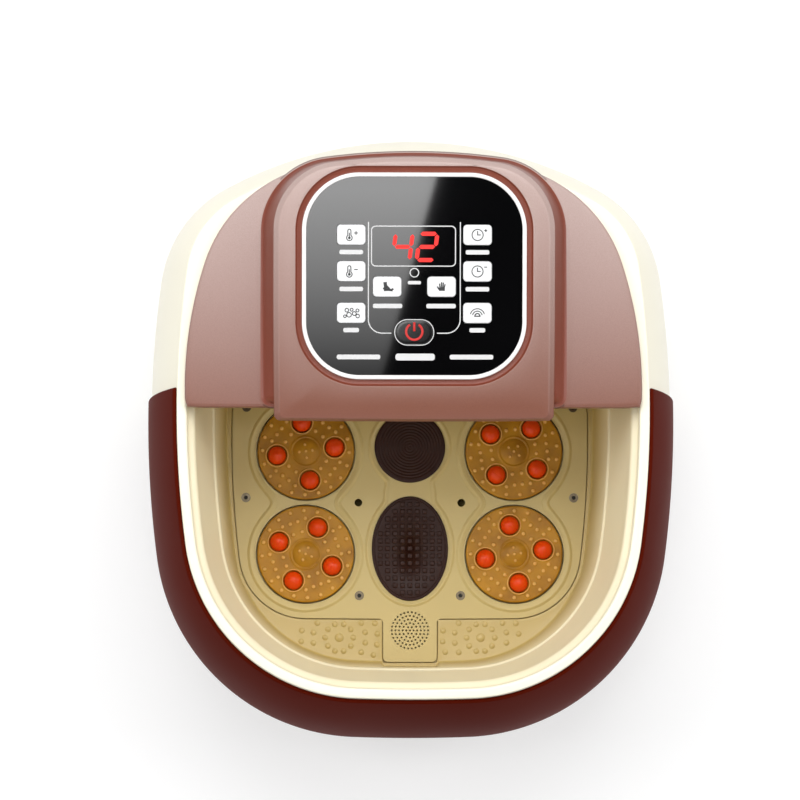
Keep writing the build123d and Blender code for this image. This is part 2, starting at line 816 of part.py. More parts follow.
with BuildPart() as massage_motors:
    with BuildSketch(Plane.XY.offset(motor_top_z - motor_height)):
        with Locations(*motor_points):
            Circle(motor_radius)
    extrude(amount=motor_height - 2)
    with BuildSketch(Plane.XY.offset(motor_top_z - 2)):
        with Locations(*motor_points):
            Circle(motor_radius)
            with GridLocations(2 * motor_radius + 8, 0, 2, 1):
                Circle(7)
    extrude(amount=2)
    with BuildSketch(Plane.XY.offset(motor_top_z)):
        with Locations(*motor_points):
            Circle(motor_shaft_radius + running_gap)
    extrude(amount=3 - motor_height, mode=Mode.SUBTRACT)
finish(massage_motors.part, "massage_motors")

with BuildPart() as shaft_seals:
    with BuildSketch(Plane.XY.offset(motor_top_z)):
        with Locations(*motor_points):
            Circle(6.98)
    extrude(amount=well_wall)
    with BuildSketch(Plane.XY.offset(well_floor_z)):
        with Locations(*motor_points):
            Circle(9)
    extrude(amount=seal_flange_z - well_floor_z)
    with BuildSketch(Plane.XY.offset(seal_flange_z)):
        with Locations(*motor_points):
            Circle(motor_shaft_radius + running_gap)
    extrude(amount=motor_top_z - seal_flange_z, mode=Mode.SUBTRACT)
finish(shaft_seals.part, "shaft_seals")

# ================================================================ hood
slope = radians(head_slope)
head_plane = Plane(origin=(0, 0, head_front_z), x_dir=(1, 0, 0), z_dir=(0, -sin(slope), cos(slope)))
wing_top_z = rim_top_z + wing_height


def head_face(plane, half_width, front, back, corner):
    """Plan of the control head: straight sides, slightly bowed back."""
    arcs = plan_arcs(half_width, (front + back) / 2, 9000.0, back, 500.0, corner, front, 9000.0, 3.0)
    return plan_face(arcs, 0.0, plane)


with BuildPart() as hood:
    with BuildSketch(Plane.XY.offset(rim_top_z)):
        add(hood_face())
    extrude(amount=wing_height)
    base = head_face(Plane.XY.offset(wing_top_z), head_base_half_width, hood_front_y, head_base_back_y, 55.0)
    brow = head_face(head_plane.offset(-head_bevel), head_half_width + 4.2, -1.5, head_length + 3.5, 52.0)
    crown = head_face(head_plane, head_half_width, 0.0, head_length, 48.0)
    loft([base, brow], ruled=True)
    loft([brow, crown], ruled=True)
    # Hollow underside.
    with BuildSketch(Plane.XY.offset(rim_top_z)):
        add(hood_face(hood_wall))
    extrude(amount=wing_height - hood_wall, mode=Mode.SUBTRACT)
    low = head_face(
        Plane.XY.offset(wing_top_z - hood_wall), head_base_half_width - hood_wall,
        hood_front_y + hood_wall, head_base_back_y - hood_wall, 52.0,
    )
    high = head_face(
        head_plane.offset(-head_bevel), head_half_width + 4.2 - hood_wall,
        -1.5 + hood_wall + 1.0, head_length + 3.5 - hood_wall, 49.0,
    )
    loft([low, high], ruled=True, mode=Mode.SUBTRACT)
    # Recess for the control panel, with a window for the keys.
    with BuildSketch(head_plane.offset(-head_bevel)):
        with Locations((0, panel_centre_s)):
            RectangleRounded(
                2 * (ring_half_width + lip_width + 2), 2 * (ring_half_length + lip_width + 2),
                ring_corner + lip_width + 2,
            )
    extrude(amount=head_bevel - recess_depth - recess_floor)
    with BuildSketch(head_plane.offset(-recess_depth)):
        with Locations((0, panel_centre_s)):
            RectangleRounded(
                2 * (ring_half_width + lip_width), 2 * (ring_half_length + lip_width), ring_corner + lip_width,
            )
    extrude(amount=recess_depth + 1, mode=Mode.SUBTRACT)
    with BuildSketch(head_plane.offset(-recess_depth)):
        with Locations((0, panel_centre_s)):
            RectangleRounded(
                2 * (ring_half_width - window_margin), 2 * (ring_half_length - window_margin),
                ring_corner - window_margin,
            )
    extrude(amount=-6, mode=Mode.SUBTRACT)
    # Posts that carry the control board.
    with BuildSketch(head_plane.offset(-recess_depth - 1)):
        with Locations((0, panel_centre_s)):
            with GridLocations(2 * (ring_half_width - 4), 80, 2, 2):
                Circle(2.5)
    extrude(amount=recess_depth + 1 - board_depth)
finish(hood.part, "hood")

with BuildPart() as hood_tray:
    with BuildSketch(Plane.XY.offset(rim_top_z)):
        add(hood_face(hood_wall + 0.3))
        with Locations((0, basin_back_y + 300)):
            Rectangle(800, 600, mode=Mode.SUBTRACT)
    extrude(amount=tray_thickness)
finish(hood_tray.part, "hood_tray")

with BuildPart() as panel_bezel:
    with BuildSketch(head_plane.offset(-recess_depth)):
        with Locations((0, panel_centre_s)):
            RectangleRounded(2 * ring_half_width, 2 * ring_half_length, ring_corner)
            RectangleRounded(
                2 * (ring_half_width - ring_width), 2 * (ring_half_length - ring_width),
                ring_corner - ring_width, mode=Mode.SUBTRACT,
            )
    extrude(amount=recess_depth + 0.6)
finish(panel_bezel.part, "panel_bezel")


def key_sketch(plane, place, margin):
    """Outline of one key, grown by margin, on a plane parallel to the panel."""
    half_x = power_half_width if place == "key_power" else key_half_width
    half_y = power_half_length if place == "key_power" else key_half_length
    corner = power_half_length - 0.1 if place == "key_power" else key_corner
    with BuildSketch(plane) as outline:
        with Locations(keys[place]):
            RectangleRounded(2 * (half_x + margin), 2 * (half_y + margin), corner + margin)
    return outline.sketch


glass_bottom = -recess_depth
with BuildPart() as control_glass:
    with BuildSketch(head_plane.offset(glass_bottom)):
        with Locations((0, panel_centre_s)):
            RectangleRounded(
                2 * (ring_half_width - ring_width - 0.1), 2 * (ring_half_length - ring_width - 0.1),
                ring_corner - ring_width - 0.1,
            )
    extrude(amount=glass_top - glass_bottom)
    for place in keys:
        extrude(key_sketch(head_plane.offset(glass_bottom), place, key_gap), amount=5, mode=Mode.SUBTRACT)
finish(control_glass.part, "control_glass")

flange_top = glass_bottom - key_gap
board_top = -board_depth
switch_top = board_top + 1.6
for place in keys:
    with BuildPart() as key:
        extrude(key_sketch(head_plane.offset(flange_top - 1.2), place, 0.0), amount=0.2 - flange_top + 1.2)
        extrude(key_sketch(head_plane.offset(flange_top - 1.2), place, 1.2), amount=1.2)
        with BuildSketch(head_plane.offset(flange_top - 1.2)):
            with Locations(keys[place]):
                Circle(2.0)
        extrude(amount=switch_top + key_travel + 0.2 - flange_top + 1.2)
    finish(key.part, place)

with BuildPart() as control_board:
    with BuildSketch(head_plane.offset(board_top)):
        with Locations((0, panel_centre_s)):
            RectangleRounded(2 * ring_half_width, 100, 4)
    extrude(amount=-board_thickness)
    with BuildSketch(head_plane.offset(board_top)):
        with Locations(*keys.values()):
            Rectangle(6, 6)
    extrude(amount=1.6)
    with BuildSketch(head_plane.offset(board_top)):
        with Locations((0, 132.4)):
            Rectangle(44, 26)
    extrude(amount=glass_bottom - 0.4 - board_top)
finish(control_board.part, "control_board")

# ================================================================ inner units
with BuildPart() as heater:
    with BuildSketch(Plane.XZ.offset(-heater_front_y)):
        with Locations((0, heater_z)):
            Circle(heater_radius)
    extrude(amount=heater_front_y - heater_back_y)
    with BuildSketch(Plane.XZ.offset(nipple_length - heater_front_y)):
        with Locations((0, heater_z)):
            Circle(hose_radius)
    extrude(amount=heater_front_y - heater_back_y - 2 * nipple_length)
    with BuildSketch(Plane.XZ.offset(nipple_length - heater_front_y)):
        with Locations((0, heater_z)):
            Circle(hose_bore)
    extrude(amount=heater_front_y - heater_back_y - 2 * nipple_length, mode=Mode.SUBTRACT)
finish(heater.part, "heater")

pump_left_x = pump_x - pump_radius - nipple_length
pump_top_z = casing_bottom_z + pump_height
with BuildPart() as water_pump:
    with BuildSketch(Plane.XY.offset(casing_bottom_z)):
        with Locations((pump_x, pump_y)):
            Circle(pump_radius)
    extrude(amount=pump_height)
    with BuildSketch(Plane.YZ.offset(pump_left_x)):
        with Locations((pump_y, heater_z)):
            Circle(hose_radius)
    extrude(amount=nipple_length + 4)
    with BuildSketch(Plane.XY.offset(pump_top_z)):
        with Locations((pump_x, pump_y)):
            Circle(hose_radius)
    extrude(amount=nipple_length)
finish(water_pump.part, "water_pump")

with BuildPart() as air_pump:
    with BuildSketch(Plane.XY.offset(casing_bottom_z)):
        with Locations((air_pump_x, air_pump_front_y + air_pump_size[1] / 2)):
            RectangleRounded(air_pump_size[0], air_pump_size[1], 6)
    extrude(amount=air_pump_size[2])
    with BuildSketch(Plane.XZ.offset(-air_pump_front_y - 1)):
        with Locations((air_pump_x, air_hose_z)):
            Circle(hose_radius)
    extrude(amount=nipple_length)
finish(air_pump.part, "air_pump")

hose_routes = [
    [(0, grille_y, nipple_end_z), (0, grille_y, heater_z), (0, heater_front_y - nipple_length, heater_z)],
    [(0, heater_back_y + nipple_length, heater_z), (0, pump_y, heater_z), (pump_left_x, pump_y, heater_z)],
    [
        (pump_x, pump_y, pump_top_z + nipple_length),
        (pump_x, pump_y, return_z),
        (pump_x, return_wall_y + basin_wall + nipple_length, return_z),
    ],
]
hose_bends = [10.0, 40.0, 24.0]
with BuildPart() as hoses:
    for route, bend in zip(hose_routes, hose_bends):
        with BuildLine() as path:
            FilletPolyline(*route, radius=bend)
        with BuildSketch(Plane(origin=path.line @ 0, z_dir=path.line % 0)):
            Circle(hose_radius)
            Circle(hose_bore, mode=Mode.SUBTRACT)
        sweep(path=path.line)
    with BuildSketch(Plane.XZ.offset(well_inset - well_wall - nipple_length - panel_back_y)):
        with Locations((air_pump_x, air_hose_z)):
            Circle(hose_radius)
            Circle(hose_bore, mode=Mode.SUBTRACT)
    extrude(amount=panel_back_y - well_inset + well_wall + nipple_length - air_pump_front_y + nipple_length - 1)
finish(hoses.part, "hoses")

power_board_top_z = casing_bottom_z + post_height + board_thickness
with BuildPart() as power_board:
    with BuildSketch(Plane.XY.offset(casing_bottom_z + post_height)):
        with Locations((power_board_x, power_board_y)):
            RectangleRounded(*power_board_size, 3)
    extrude(amount=board_thickness)
    with BuildSketch(Plane.XY.offset(power_board_top_z)):
        with Locations((transformer_x, power_board_y)):
            Rectangle(transformer_size[0], transformer_size[1])
    extrude(amount=transformer_size[2])
    with BuildSketch(Plane.XY.offset(power_board_top_z)):
        with Locations((relay_x, power_board_y - 10), (relay_x, power_board_y + 10)):
            Rectangle(relay_size[0], relay_size[1])
    extrude(amount=relay_size[2])
finish(power_board.part, "power_board")

with BuildPart() as mains_inlet:
    with BuildSketch(Plane.XZ.offset(-inlet_face_y - inlet_flange_thickness)):
        with Locations((0, inlet_z)):
            Circle(inlet_flange_radius)
    extrude(amount=inlet_flange_thickness)
    with BuildSketch(Plane.XZ.offset(-inlet_face_y)):
        with Locations((0, inlet_z)):
            Circle(inlet_radius)
    extrude(amount=casing_wall + 2)
    with BuildSketch(Plane.XZ.offset(-inlet_face_y + casing_wall + 2)):
        with Locations((0, inlet_z)):
            Circle(inlet_flange_radius - 1)
    extrude(amount=5)
    with BuildSketch(Plane.XZ.offset(-inlet_face_y - inlet_flange_thickness)):
        with Locations((0, inlet_z)):
            Circle(inlet_pin_radius)
    extrude(amount=20, mode=Mode.SUBTRACT)
finish(mains_inlet.part, "mains_inlet")
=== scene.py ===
import math

import bpy
import numpy as np
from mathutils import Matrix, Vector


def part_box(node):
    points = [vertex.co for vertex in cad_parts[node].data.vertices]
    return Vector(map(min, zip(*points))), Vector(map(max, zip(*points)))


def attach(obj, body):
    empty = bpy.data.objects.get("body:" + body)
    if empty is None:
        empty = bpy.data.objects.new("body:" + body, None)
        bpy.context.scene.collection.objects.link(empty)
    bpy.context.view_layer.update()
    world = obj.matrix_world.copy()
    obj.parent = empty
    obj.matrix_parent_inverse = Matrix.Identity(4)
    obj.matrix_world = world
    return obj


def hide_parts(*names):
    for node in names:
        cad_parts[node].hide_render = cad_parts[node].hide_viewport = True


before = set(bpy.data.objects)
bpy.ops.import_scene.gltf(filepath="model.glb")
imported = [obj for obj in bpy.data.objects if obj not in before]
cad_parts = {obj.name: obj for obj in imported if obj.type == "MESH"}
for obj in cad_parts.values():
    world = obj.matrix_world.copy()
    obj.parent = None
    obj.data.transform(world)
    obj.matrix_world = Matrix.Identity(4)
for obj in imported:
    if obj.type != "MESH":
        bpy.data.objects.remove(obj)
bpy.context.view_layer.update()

# Every shape below is worked out in millimetres and turned to metres in build().
MM = 0.001
TAU = 2 * math.pi

# ---------------------------------------------------------------- plan sizes
# half width, widest y, side radius, back y, back radius, back corner,
# front y, front radius, front corner
RIM = (182.3, 15.5, 800.0, 211.2, 282.0, 73.0, -212.2, 1200.0, 136.0)
TUB = (182.3, 15.5, 800.0, 122.0, 4000.0, 60.0, -212.2, 1200.0, 136.0)
PANEL = (144.7, 7.0, 810.0, 44.0, 4000.0, 20.0, -144.3, 9000.0, 54.0)
HOOD = (175.8, 28.0, 317.0, 209.9, 295.4, 111.0, -212.2, 1200.0, 136.0)
HOOD_FRONT = 11.0
TAB_HALF, TAB_FRONT = 21.7, -179.3

# ---------------------------------------------------------------- heights
CASING_TOP = 230.0
CASING_BOTTOM = 10.0
BULGE_Z, BULGE, FOOT_OUT = 110.0, 26.0, 16.0
FLOOR_Z = 78.0
BAND_BOTTOM, BAND_THICK, BAND_END = 16.0, 2.5, 27.6
INLET_Z = sum(corner[2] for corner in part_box("mains_inlet")) / 2 / MM
INLET_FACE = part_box("mains_inlet")[1][1] / MM - 3.0

# ---------------------------------------------------------------- control head
SLOPE = math.radians(8.0)
HEAD_ORIGIN = np.array([0.0, 0.0, 258.0])
HEAD_X = np.array([1.0, 0.0, 0.0])
HEAD_S = np.array([0.0, math.cos(SLOPE), math.sin(SLOPE)])
HEAD_N = np.array([0.0, -math.sin(SLOPE), math.cos(SLOPE)])
PANEL_S = 109.6
RING_HALF, RING_LENGTH, RING_CORNER, RING_WIDTH = 85.7, 78.8, 44.0, 3.3
LIP = 4.6
RECESS = 2.6

# ---------------------------------------------------------------- discs
DISCS = {
    "rear_left": (-84.8, -8.3, 8.0),
    "rear_right": (84.8, -8.3, 53.0),
    "front_left": (-84.8, -92.0, 65.5),
    "front_right": (84.8, -92.0, 8.7),
}
DISC_TOP = 80.0
ORBIT, ROLLER, ROLLER_Z = 23.7, 7.4, 78.0


# ================================================================ plans
def corner_centre(a, reach_a, b, reach_b, side):
    """Where two circles about a and b cross, on the chosen side in y."""
    a, b = np.array(a), np.array(b)
    gap = np.hypot(*(b - a))
    along = (reach_a**2 - reach_b**2 + gap**2) / (2 * gap)
    across = math.sqrt(reach_a**2 - along**2)
    u = (b - a) / gap
    v = np.array([-u[1], u[0]])
    return max((a + along * u + across * v, a + along * u - across * v), key=lambda p: side * p[1])


def plan(sizes, inset=0.0, samples=1600):
    """Closed outline of eight tangent arcs, moved inwards by inset, as (n, 2) points.

    Each corner arc's centre is where two circles cross: one about the big
    arc's centre, one about the side arc's, each smaller by the corner radius.
    """
    half, widest, side_r, back_y, back_r, back_c, front_y, front_r, front_c = sizes
    side, back, front = (half - side_r, widest), (0.0, back_y - back_r), (0.0, front_y + front_r)
    rear = corner_centre(back, back_r - back_c, side, side_r - back_c, 1)
    nose = corner_centre(front, front_r - front_c, side, side_r - front_c, -1)
    turn = lambda c, p: math.atan2(p[1] - c[1], p[0] - c[0])
    a0, a1, a2, a3 = turn(front, nose), turn(side, nose), turn(side, rear), turn(back, rear)
    arcs = [(front, front_r, -math.pi / 2, a0), (nose, front_c, a0, a1), (side, side_r, a1, a2),
            (rear, back_c, a2, a3), (back, back_r, a3, math.pi / 2)]
    n = samples // 10
    right = np.concatenate([
        np.array(c) + (r - inset) * np.stack([np.cos(t), np.sin(t)], 1)
        for c, r, s, e in arcs for t in [np.linspace(s, e, n, endpoint=False)]
    ])
    left = right[::-1] * [-1, 1]
    return np.concatenate([right, left[:-1]])


def polar(outline, angles, centre):
    """Distance from centre to a star-shaped outline, along each angle; long sides are divided first."""
    ahead = np.roll(outline, -1, 0)
    if np.hypot(*(ahead - outline).T).max() > 2.0:
        t = np.linspace(0, 1, 200, endpoint=False)[None, :, None]
        outline = (outline[:, None] * (1 - t) + ahead[:, None] * t).reshape(-1, 2)
    d = outline - np.array(centre)
    a = np.arctan2(d[:, 1], d[:, 0]) % TAU
    order = np.argsort(a)
    return np.interp(angles, a[order], np.hypot(d[:, 0], d[:, 1])[order], period=TAU)


def rays(angles):
    """Unit directions in the plan for each angle."""
    return np.stack([np.cos(angles), np.sin(angles)], 1)


def casing_out(z, skin=0.0):
    """How far outside the rim line the casing stands at height z: one arc above the bulge, one below."""
    z = np.asarray(z, float)
    up = (BULGE**2 + (CASING_TOP - BULGE_Z) ** 2) / (2 * BULGE)
    fall = BULGE - FOOT_OUT
    down = (fall**2 + (BULGE_Z - CASING_BOTTOM) ** 2) / (2 * fall)
    r = np.where(z > BULGE_Z, up, down)
    return BULGE - r + np.sqrt((r + skin) ** 2 - (z - BULGE_Z) ** 2)


# ================================================================ meshes
def build(name, points, faces, material, body="root", replaces=(), smooth=True):
    """Make a closed mesh from points in millimetres; its faces are turned outwards by the sign of its
    volume.
    """
    points = np.asarray(points, float)
    fan = [
        (f[0], f[i], f[i + 1]) for f in faces for i in range(1, len(f) - 1)
    ] if isinstance(faces, list) else (
        np.concatenate([faces[:, [0, 1, 2]], faces[:, [0, 2, 3]]]))
    a, b, c = (points[np.asarray(fan)[:, i]] for i in range(3))
    if np.einsum("ij,ij->", a, np.cross(b, c)) < 0:
        faces = [f[::-1] for f in faces] if isinstance(faces, list) else faces[:, ::-1]
    mesh = bpy.data.meshes.new(name)
    mesh.from_pydata((points * MM).tolist(), [], faces if isinstance(faces, list) else faces.tolist())
    mesh.polygons.foreach_set("use_smooth", np.full(len(mesh.polygons), smooth))
    mesh.materials.append(material)
    mesh.update()
    piece = bpy.data.objects.new(name, mesh)
    bpy.context.scene.collection.objects.link(piece)
    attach(piece, body)
    if replaces:
        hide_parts(*replaces)
    return piece


def quads(rows, cols, wrap_rows=False, wrap_cols=True):
    """Corner numbers of the quads of a rows by cols grid."""
    r = np.arange(rows if wrap_rows else rows - 1)
    c = np.arange(cols if wrap_cols else cols - 1)
    r, c = (g.ravel() for g in np.meshgrid(r, c, indexing="ij"))
    r1, c1 = (r + 1) % rows, (c + 1) % cols
    return np.stack([r * cols + c, r * cols + c1, r1 * cols + c1, r1 * cols + c], 1)


def lathe(profile, centre, steps, axis=None):
    """Turn a profile (radius, height) about an axis through centre; poles are closed by fans of thin
    quads.
    """
    t = np.linspace(0, TAU, steps, endpoint=False)
    profile = np.asarray(profile, float)
    if axis is None:
        x, y, z = np.eye(3)
    else:
        z = np.asarray(axis, float)
        x = np.array([-z[1], z[0], 0.0]) / math.hypot(z[0], z[1])
        y = np.cross(z, x)
    ring = np.cos(t)[:, None] * x + np.sin(t)[:, None] * y
    return np.asarray(centre) + profile[:, None, :1] * ring[None] + profile[:, None, 1:] * z


def on_head(x, s, n):
    """Point of the control head's sloping plane: x across, s up the slope, n above it."""
    x, s, n = np.broadcast_arrays(x, s, n)
    return HEAD_ORIGIN + x[..., None] * HEAD_X + s[..., None] * HEAD_S + n[..., None] * HEAD_N


def rounded(points, radii, steps=5):
    """Polyline with chosen corners rounded; a corner of radius 0 stays one point.

    A rounded corner is the quadratic curve with the corner as its middle
    control point, starting and ending one radius away along the two sides.
    """
    p = np.asarray(points, float)
    out = []
    for i, radius in enumerate(radii):
        before, after = p[i - 1] - p[i], p[(i + 1) % len(p)] - p[i]
        if radius == 0:
            out.append(p[i : i + 1])
            continue
        start = p[i] + before * min(radius / np.linalg.norm(before), 0.45)
        end = p[i] + after * min(radius / np.linalg.norm(after), 0.45)
        t = np.linspace(0, 1, steps)[:, None]
        out.append((1 - t) ** 2 * start + 2 * t * (1 - t) * p[i] + t**2 * end)
    return np.concatenate(out)


def rounded_box(half_x, half_y, corner, steps=10):
    """Counter-clockwise outline of a rounded rectangle about the origin: a quarter circle at each corner."""
    t = np.linspace(0, math.pi / 2, steps)
    quarter = corner * rays(t)
    parts = []
    for sx, sy, turn in ((1, 1, 0), (-1, 1, 1), (-1, -1, 2), (1, -1, 3)):
        c, s = math.cos(turn * math.pi / 2), math.sin(turn * math.pi / 2)
        parts.append(quarter @ np.array([[c, s], [-s, c]]) + [sx * (half_x - corner), sy * (half_y - corner)])
    return np.concatenate(parts)


def layers(loops):
    """Closed skin through a stack of loops, each (n, 3), with a flat cap at both ends."""
    loops = np.asarray(loops, float)
    rows, cols = loops.shape[:2]
    faces = quads(rows, cols).tolist()
    faces.append(list(range(cols))[::-1])
    faces.append([(rows - 1) * cols + i for i in range(cols)])
    return loops.reshape(-1, 3), faces


def joined(shapes):
    """Several (points, faces) shapes as one."""
    points, faces, base = [], [], 0
    for p, f in shapes:
        points.append(p)
        faces += [[i + base for i in face] for face in f]
        base += len(p)
    return np.concatenate(points), faces


def stroke(path, width, place, low, high, closed=False):
    """Flat ribbon along a path in the plane; each side is the path moved by half the width along the mitre.

    place(x, y, h) turns plan coordinates and a height into a point.
    """
    p = np.asarray(path, float)
    ahead = np.roll(p, -1, 0) - p
    behind = p - np.roll(p, 1, 0)
    if not closed:
        ahead[-1], behind[0] = behind[-1], ahead[0]
    unit = lambda v: v / np.linalg.norm(v, axis=1, keepdims=True)
    ahead, behind = unit(ahead), unit(behind)
    middle = unit(ahead + behind + 1e-9)
    side = np.stack([-middle[:, 1], middle[:, 0]], 1) / np.maximum((middle * ahead).sum(1), 0.35)[:, None]
    left, right = p + side * width / 2, p - side * width / 2
    ring = np.stack(
        [
            place(q[:, 0], q[:, 1], np.full(len(q), h)) for q,
            h in ((left, low), (left, high), (right, high), (right, low))
        ]
    )
    faces = quads(4, len(p), wrap_rows=True, wrap_cols=closed).tolist()
    if not closed:
        faces += [
            [0, len(p), 2 * len(p), 3 * len(p)],
            [4 * len(p) - 1, 3 * len(p) - 1, 2 * len(p) - 1, len(p) - 1]
        ]
    return ring.reshape(-1, 3), faces


def patch(outline, place, low, high):
    """Thin flat plate with the given outline."""
    o = np.asarray(outline, float)
    return layers([place(o[:, 0], o[:, 1], np.full(len(o), h)) for h in (low, high)])


def arc(cx, cy, r, start, end, steps=24):
    """Points on a circle from one angle to another, in degrees."""
    return np.array([cx, cy]) + r * rays(np.radians(np.linspace(start, end, steps)))


def circle(cx, cy, r, steps=32):
    """Points on a whole circle, the last one short of the first."""
    return arc(cx, cy, r, 0, 360 - 360 / steps, steps)


def domes(places, radii, heights, base, sink=0.6, power=2.0, rings=7, steps=20):
    """Many bumps in one mesh: each is a cap h * (1 - u^power) over u = distance / radius, with a skirt
    sunk into its base.
    """
    places = np.asarray(places, float)
    u = np.sin(np.linspace(math.pi / 2, 0.02, rings))
    t = np.linspace(0, TAU, steps, endpoint=False)
    ring_r = np.concatenate([[1.0], u])
    ring_h = 1 - u**power
    r = np.broadcast_to(np.asarray(radii, float), len(places))[:, None, None]
    h = np.broadcast_to(np.asarray(heights, float), len(places))[:, None, None]
    z = np.concatenate(
        [np.full((len(places), 1, 1), -sink), h * ring_h[None, :, None]], 1
    ) + np.zeros((1, 1, steps))
    xy = places[:, None, None, :] + (r * ring_r[None, :, None])[..., None] * rays(t)[None, None]
    points = np.concatenate([xy, (base + z)[..., None]], -1)
    one = quads(rings + 1, steps).tolist() + [
        list(range(steps))[::-1], [rings * steps + i for i in range(steps)]
    ]
    count = (rings + 1) * steps
    faces = [[i + k * count for i in f] for k in range(len(places)) for f in one]
    return points.reshape(-1, 3), faces


# ================================================================ materials
def linear(colour):
    """Hex sRGB to linear RGBA."""
    value = np.array([int(colour[i : i + 2], 16) for i in (1, 3, 5)]) / 255
    value = np.where(value <= 0.04045, value / 12.92, ((value + 0.055) / 1.055) ** 2.4)
    return (*value.tolist(), 1.0)


def node(tree, kind, inputs=None, **settings):
    """Add a node with its settings, or take the one given; an input is a value or the socket that
    feeds it.
    """
    made = tree.nodes.new("ShaderNode" + kind) if isinstance(kind, str) else kind
    for key, value in settings.items():
        setattr(made, key, value)
    for key, value in (inputs or {}).items():
        if isinstance(value, bpy.types.NodeSocket):
            tree.links.new(value, made.inputs[key])
        else:
            made.inputs[key].default_value = value
    return made


def new_material(name):
    """A material, its tree, its shader and the object's own coordinates, in which each pattern is laid
    out.
    """
    made = bpy.data.materials.new(name)
    made.use_nodes = True
    tree = made.node_tree
    return made, tree, tree.nodes["Principled BSDF"], node(tree, "TexCoord").outputs["Object"]


def cells(size):
    """Scale of a noise whose cells are about this many millimetres across."""
    return 1 / (size * MM)


# Inputs and output of a Mix node that mixes colours.
MIX_A, MIX_B, MIX_RESULT = 6, 7, 2
# Cell sizes in millimetres.
CLOUD, GLOSS_CLOUD, MOULD_GRAIN = 111.0, 71.0, 0.385
METAL_CLOUD, ROLLING, SCRATCH = 12.5, 2.4, 0.33
FLAKE, PAINT_CLOUD, PAINT_GRAIN = 0.45, 25.0, 0.31
STREAK, FROST = 16.7, 1.1
PATCH, ROLLER_GRAIN = 6.2, 0.67
TINT, DUST, WAVE = 83.0, 1.1, 200.0
LIT_SPOT = 2.0
STUDIO_CLOUD = 330.0
# Height at which the tub's painted shade, deepest at the floor, has faded into its palest colour, in
# millimetres.
TUB_UNSHADED_Z = 150.0
FINE = 0.1 * MM


def moulded(name, colour, shade, rough, grain=0.02, **constant):
    """Injection-moulded plastic: even and softly shiny.

    Two close shades lie in broad soft clouds, the gloss changes slowly by a
    fourteenth, and the fine grain is that of the mould.
    """
    made, tree, shader, place = new_material(name)
    clouds = node(tree, "TexNoise", {"Vector": place, "Scale": cells(CLOUD), "Detail": 1.0})
    tone = node(tree, "Mix", {
        "Factor": clouds.outputs["Fac"], MIX_A: linear(colour), MIX_B: linear(shade),
    }, data_type="RGBA")
    slow = node(tree, "TexNoise", {"Vector": place, "Scale": cells(GLOSS_CLOUD), "Detail": 1.0})
    gloss = node(tree, "MapRange", {
        "Value": slow.outputs["Fac"], "From Min": 0.2, "From Max": 0.8,
        "To Min": rough * 0.93, "To Max": rough * 1.07,
    })
    grains = node(tree, "TexNoise", {"Vector": place, "Scale": cells(MOULD_GRAIN)})
    bump = node(tree, "Bump", {"Height": grains.outputs["Fac"], "Strength": grain, "Distance": FINE})
    node(tree, shader, {
        "Base Color": tone.outputs[MIX_RESULT], "Roughness": gloss.outputs["Result"],
        "Normal": bump.outputs["Normal"], **constant,
    })
    return made


def metal(name, colour, shade, rough):
    """Plated or rolled steel: grey with a tone and a roughness that wander slightly, and fine scratches."""
    made, tree, shader, place = new_material(name)
    clouds = node(tree, "TexNoise", {"Vector": place, "Scale": cells(METAL_CLOUD), "Detail": 3.0})
    tone = node(tree, "Mix", {
        "Factor": clouds.outputs["Fac"], MIX_A: linear(colour), MIX_B: linear(shade),
    }, data_type="RGBA")
    marks = node(tree, "TexNoise", {"Vector": place, "Scale": cells(ROLLING), "Detail": 3.0})
    gloss = node(tree, "MapRange", {
        "Value": marks.outputs["Fac"], "From Min": 0.3, "From Max": 0.7,
        "To Min": rough * 0.8, "To Max": rough * 1.25,
    })
    scratches = node(tree, "TexNoise", {"Vector": place, "Scale": cells(SCRATCH), "Detail": 3.0})
    bump = node(tree, "Bump", {"Height": scratches.outputs["Fac"], "Strength": 0.05, "Distance": FINE})
    node(tree, shader, {
        "Base Color": tone.outputs[MIX_RESULT], "Roughness": gloss.outputs["Result"],
        "Normal": bump.outputs["Normal"], "Metallic": 1.0,
    })
    return made


def tub_plastic_with_painted_shade():
    """Cream PP, moulded: its colour goes from a deep beige at the floor to cream at half height; the beige is
    painted shade.

    A broad cloud shifts that change of colour up and down by a twentieth.
    """
    made, tree, shader, place = new_material("cream PP of the tub")
    height = node(tree, "SeparateXYZ", {"Vector": place})
    # Painted shade: deep beige at the floor, fading into cream higher up the wall.
    painted_shade_rise = node(tree, "MapRange", {
        "Value": height.outputs["Z"], "From Min": FLOOR_Z * MM, "From Max": TUB_UNSHADED_Z * MM,
        "To Min": 0.0, "To Max": 1.0,
    })
    clouds = node(tree, "TexNoise", {"Vector": place, "Scale": cells(CLOUD), "Detail": 3.0})
    shift = node(tree, "MapRange", {
        "Value": clouds.outputs["Fac"], "From Min": 0.3, "From Max": 0.7, "To Min": -0.05, "To Max": 0.05,
    })
    depth = node(tree, "Math", {0: painted_shade_rise.outputs["Result"], 1: shift.outputs["Result"]}, operation="ADD")
    tone = node(tree, "Mix", {
        "Factor": depth.outputs["Value"], MIX_A: linear("#C2AB6C"), MIX_B: linear("#FAF0D0"),
    }, data_type="RGBA")
    grains = node(tree, "TexNoise", {"Vector": place, "Scale": cells(MOULD_GRAIN)})
    bump = node(tree, "Bump", {"Height": grains.outputs["Fac"], "Strength": 0.02, "Distance": FINE})
    node(tree, shader, {
        "Base Color": tone.outputs[MIX_RESULT], "Normal": bump.outputs["Normal"], "Roughness": 0.36,
    })
    return made


